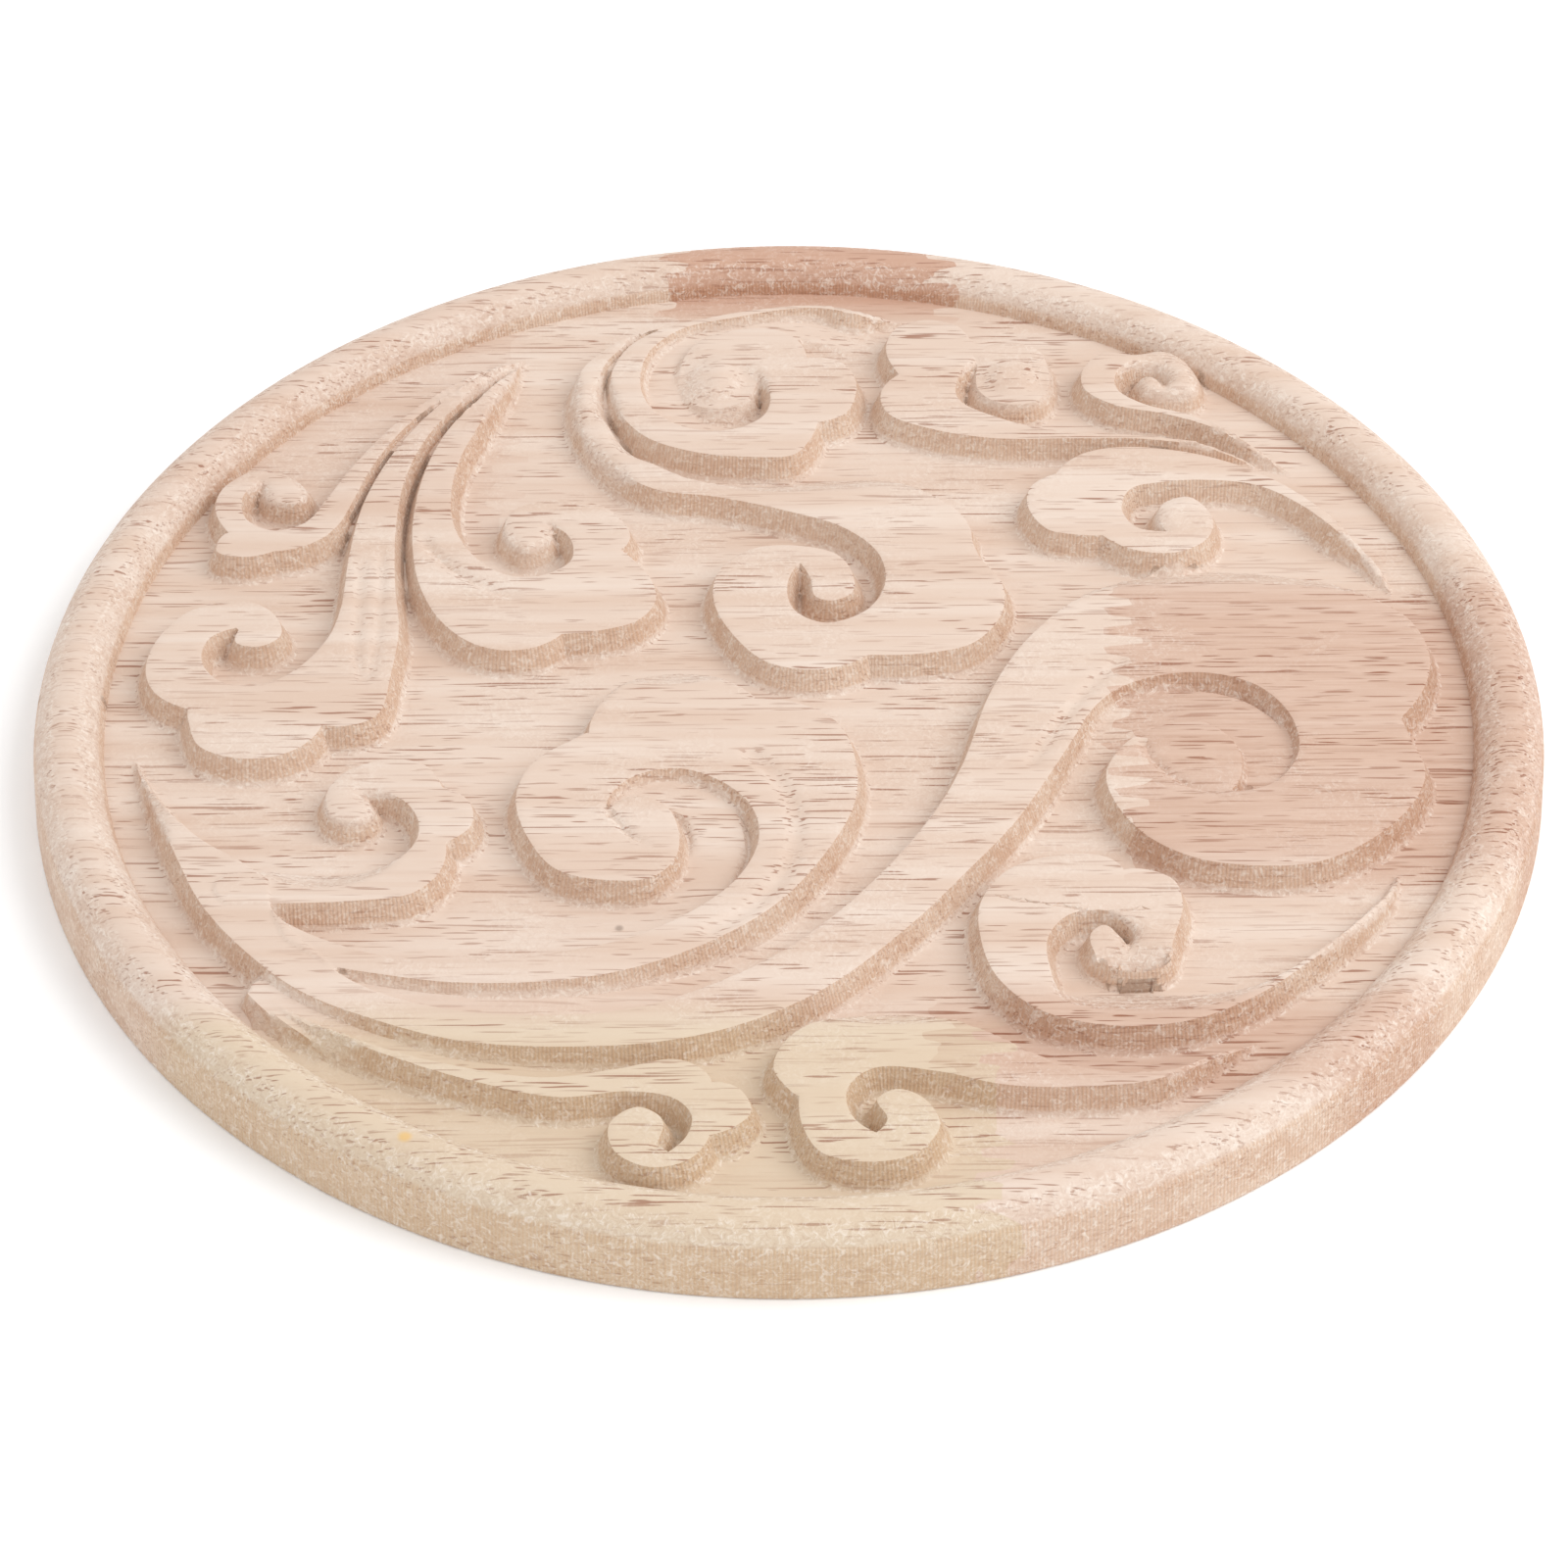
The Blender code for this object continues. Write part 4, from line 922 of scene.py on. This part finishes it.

# %% [markdown]
# The walls and the upright edge show what the cutter left. It was a spinning tool that went round
# each scroll, so its marks are upright lines at an even spacing along the edge, like the teeth of a
# comb. The mesh carries how far along the edge each point is, and a sine of that, shaken a little
# by noise, draws the comb. The real spacing is near 0.4 mm, and 0.5 mm is used so that it still
# shows. The fibres there are torn, not sanded, so the walls are more orange and fuzzy than the tops,
# and the steeper a wall is, the more painted shade darkens it as well.

# %% Wood: cut walls, with painted shade
COMB_PITCH = 0.5
steep = add_node(tree, "MapRange", {0: upward, 1: 0.52, 2: 0.40})
fuzz = add_node(tree, "TexNoise", {"Vector": mm, "Scale": 1.6, "Detail": 4.0, "Roughness": 0.75})
along_edge = add_node(tree, "Attribute", {}, out="Fac", attribute_name="along_edge")
teeth = add_node(tree, "Math", {0: along_edge, 1: math.tau / COMB_PITCH}, operation="MULTIPLY")
shaken = add_node(tree, "Math", {0: fuzz, 1: 3.0, 2: teeth}, operation="MULTIPLY_ADD")
comb = add_node(tree, "Math", {0: shaken}, operation="SINE")
comb = add_node(tree, "MapRange", {0: comb, 1: -1.0, 2: 1.0})
torn = add_node(tree, "MapRange", {0: fuzz, 1: 0.3, 2: 0.7, 3: 0.3, 4: 0.6})
torn = add_node(tree, "Math", {0: comb, 1: 0.45, 2: torn}, operation="MULTIPLY_ADD")
# painted shade: every steep wall is darkened here, along with its torn fibres and comb marks
wall_marks_and_shade = add_node(tree, "Math", {0: steep, 1: torn}, operation="MULTIPLY", use_clamp=True)
colour = add_node(tree, "Mix", {0: wall_marks_and_shade, 6: colour, 7: CUT_WALL_AND_SHADE}, out=2, data_type="RGBA",
                  blend_type="MULTIPLY")
print("comb marks every", COMB_PITCH, "mm")

# %% [markdown]
# Sanding never takes every torn fibre off such wood. Where the surface curves, and in patches on
# the tops, a pale fuzz of curled fibres stays, about half a millimetre across. Its crests are pale
# fibre, and between them painted shade darkens the wood. Distorted noise draws the curls, and the
# slope and a slow patchy noise say how much shows.

# %% Wood: raised fibres, with painted shade between them
curls = add_node(tree, "TexNoise", {"Vector": mm, "Scale": 1.1, "Detail": 2.5, "Roughness": 0.7,
                                    "Distortion": 1.4})
on_slopes = add_node(tree, "MapRange", {0: upward, 1: 0.985, 2: 0.9})
patches = add_node(tree, "TexNoise", {"Vector": mm, "Scale": 0.07, "Detail": 2.0})
patches = add_node(tree, "MapRange", {0: patches, 1: 0.48, 2: 0.64, 3: 0.05, 4: 0.5})
furry = add_node(tree, "Math", {0: on_slopes, 1: patches}, operation="MAXIMUM")
curl_crests = add_node(tree, "MapRange", {0: curls, 1: 0.5, 2: 0.68, 3: 0.0, 4: 0.55})
curl_crests = add_node(tree, "Math", {0: curl_crests, 1: furry}, operation="MULTIPLY")
colour = add_node(tree, "Mix", {0: curl_crests, 6: colour, 7: RAISED_FIBRE}, out=2, data_type="RGBA")
# painted shade: the hollows between the curls are darkened with the streak colour
between = add_node(tree, "MapRange", {0: curls, 1: 0.46, 2: 0.3, 3: 0.0, 4: 0.25})
between = add_node(tree, "Math", {0: between, 1: furry}, operation="MULTIPLY")
colour = add_node(tree, "Mix", {0: between, 6: colour, 7: STREAK_AND_CURL_SHADE}, out=2, data_type="RGBA")
print("nodes so far:", len(tree.nodes))

# %% [markdown]
# Two specks belong to this very piece of wood: a yellow one on the front of the bead and a small
# grey one on the ground in front of the heart-shaped cloud.

# %% Wood: two small marks
MARKS = [
    # x, y, radius in mm and colour
    (-46.1, -83.0, 1.1, linear("#DDB46C")),
    (-21.5, -43.0, 0.7, linear("#9C8A7E")),
]
flat_place = add_node(tree, "VectorMath", {0: mm, 1: (1, 1, 0)}, operation="MULTIPLY")
for x, y, mark_radius, stain in MARKS:
    away = add_node(tree, "VectorMath", {0: flat_place, 1: (x, y, 0)}, out="Value", operation="DISTANCE")
    on_mark = add_node(tree, "MapRange", {0: away, 1: mark_radius, 2: 0.4 * mark_radius, 3: 0.0, 4: 0.75})
    colour = add_node(tree, "Mix", {0: on_mark, 6: colour, 7: stain}, out=2, data_type="RGBA")
tree.links.new(colour, shader.inputs["Base Color"])
print("marks:", len(MARKS))

# %% [markdown]
# Bare wood has no gloss. Its IOR is near 1.5, as for most things that aren't metal, and its
# highlight is kept weak, because the surface is made of open cells. Its roughness sits near 0.6,
# and the open pores are rougher still. The bump comes from the same patterns as the colour: pores
# are dents, fibres are slight ridges, curls stand up, and the walls have their comb marks.

# %% Wood: roughness and bump
BUMP_HEIGHT = 0.16 * MM
rough = add_node(tree, "MapRange", {0: fibres, 1: 0.0, 2: 1.0, 3: 0.56, 4: 0.68})
rough = add_node(tree, "Math", {0: pores, 1: 0.2, 2: rough}, operation="MULTIPLY_ADD", use_clamp=True)
tree.links.new(rough, shader.inputs["Roughness"])
wall_relief = add_node(tree, "Math", {0: comb, 1: steep}, operation="MULTIPLY")
wall_relief = add_node(tree, "Math", {0: wall_relief, 1: 0.7}, operation="MULTIPLY")
furry_relief = add_node(tree, "Math", {0: curls, 1: furry}, operation="MULTIPLY")
relief = add_node(tree, "Math", {0: furry_relief, 1: 1.2, 2: wall_relief}, operation="MULTIPLY_ADD")
relief = add_node(tree, "Math", {0: fibres, 1: 0.25, 2: relief}, operation="MULTIPLY_ADD")
relief = add_node(tree, "Math", {0: pores, 1: -0.5, 2: relief}, operation="MULTIPLY_ADD")
bump = add_node(tree, "Bump", {"Height": relief, "Strength": 0.6, "Distance": BUMP_HEIGHT}, out="Normal")
tree.links.new(bump, shader.inputs["Normal"])
shader.inputs["IOR"].default_value = 1.5
shader.inputs["Specular IOR Level"].default_value = 0.35
shader.inputs["Subsurface Weight"].default_value = 0.0
rosette.data.materials.append(wood)
print("wood nodes:", len(tree.nodes))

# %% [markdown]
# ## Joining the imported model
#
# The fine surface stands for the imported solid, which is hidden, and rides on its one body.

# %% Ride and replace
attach(rosette, "root")
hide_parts("carved_rosette")
print("rosette_wood rides on root and replaces carved_rosette")

# %% [markdown]
# ## Floor, light and camera
#
# The disc lies on a plain white sweep. Product photographs of pale wood are lit almost evenly, so a
# white sky does most of the work, and one large soft lamp, high and to the right, gives the scrolls
# their shape: slopes that face right are as bright as the tops, and slopes that face left are in
# soft shade.

# %% Floor
FLOOR_SIZE = 6.0        # in metres, wide enough to fill every view
half = FLOOR_SIZE / 2
corners = [(-half, -half, 0), (half, -half, 0), (half, half, 0), (-half, half, 0)]
floor_mesh = bpy.data.meshes.new("studio_floor")
floor_mesh.from_pydata(corners, [], [(0, 1, 2, 3)])
floor = bpy.data.objects.new("studio_floor", floor_mesh)
bpy.context.scene.collection.objects.link(floor)
paper = bpy.data.materials.new("white_paper_sweep")
paper.use_nodes = True
paper_shader = paper.node_tree.nodes["Principled BSDF"]
paper_shader.inputs["Base Color"].default_value = linear("#FFFFFF")
paper_shader.inputs["Roughness"].default_value = 0.9
floor_mesh.materials.append(paper)
print("floor:", FLOOR_SIZE, "m across")

# %% [markdown]
# The sky's strength and the lamp's power were set together, so that the tops come out as bright as
# they are in the photo while the floor stays white.

# %% Light
SKY_STRENGTH = 0.94
LAMP_PLACE = (0.75, -0.05, 0.9)     # metres
LAMP_SIZE = 0.8
LAMP_POWER = 6.8
world = bpy.data.worlds.new("studio_sky")
world.use_nodes = True
sky = world.node_tree.nodes["Background"]
sky.inputs["Color"].default_value = (1.0, 1.0, 1.0, 1.0)
sky.inputs["Strength"].default_value = SKY_STRENGTH
bpy.context.scene.world = world
lamp_data = bpy.data.lights.new("key_lamp", "AREA")
lamp_data.shape = "SQUARE"
lamp_data.size = LAMP_SIZE
lamp_data.energy = LAMP_POWER
lamp = bpy.data.objects.new("key_lamp", lamp_data)
lamp.location = LAMP_PLACE
lamp.rotation_euler = (-Vector(LAMP_PLACE)).to_track_quat("-Z", "Y").to_euler()
bpy.context.scene.collection.objects.link(lamp)
print("sky", SKY_STRENGTH, "and lamp", LAMP_POWER, "W")

# %% [markdown]
# The camera was found from the outlines in the photo. It looks down at 41.8 degrees from 6.55 radii
# away, and is turned by a quarter of a degree. The lens and its shift put the disc's middle where
# the photo has it.

# %% Camera
VIEW_DISTANCE = 655 * MM
VIEW_ELEVATION = 41.82      # degrees
VIEW_ROLL = 0.23            # degrees
PIXELS = 1600
FOCAL_PIXELS = 5000
ORIGIN_PIXEL = (804.8, 752.6)
SENSOR = 36.0
camera_data = bpy.data.cameras.new("view")
camera_data.sensor_width = SENSOR
camera_data.lens = FOCAL_PIXELS / PIXELS * SENSOR
camera_data.shift_x = -(ORIGIN_PIXEL[0] - PIXELS / 2) / PIXELS
camera_data.shift_y = (ORIGIN_PIXEL[1] - PIXELS / 2) / PIXELS
camera_data.clip_start = 0.01
camera = bpy.data.objects.new("view", camera_data)
up = math.radians(VIEW_ELEVATION)
spot = Matrix.Translation((0, -VIEW_DISTANCE * math.cos(up), VIEW_DISTANCE * math.sin(up)))
aim = Matrix.Rotation(math.pi / 2 - up, 4, "X") @ Matrix.Rotation(math.radians(-VIEW_ROLL), 4, "Z")
camera.matrix_world = spot @ aim
bpy.context.scene.collection.objects.link(camera)
bpy.context.scene.camera = camera
bpy.context.scene.view_settings.view_transform = "Standard"
print("camera lens, mm:", round(camera_data.lens, 1))
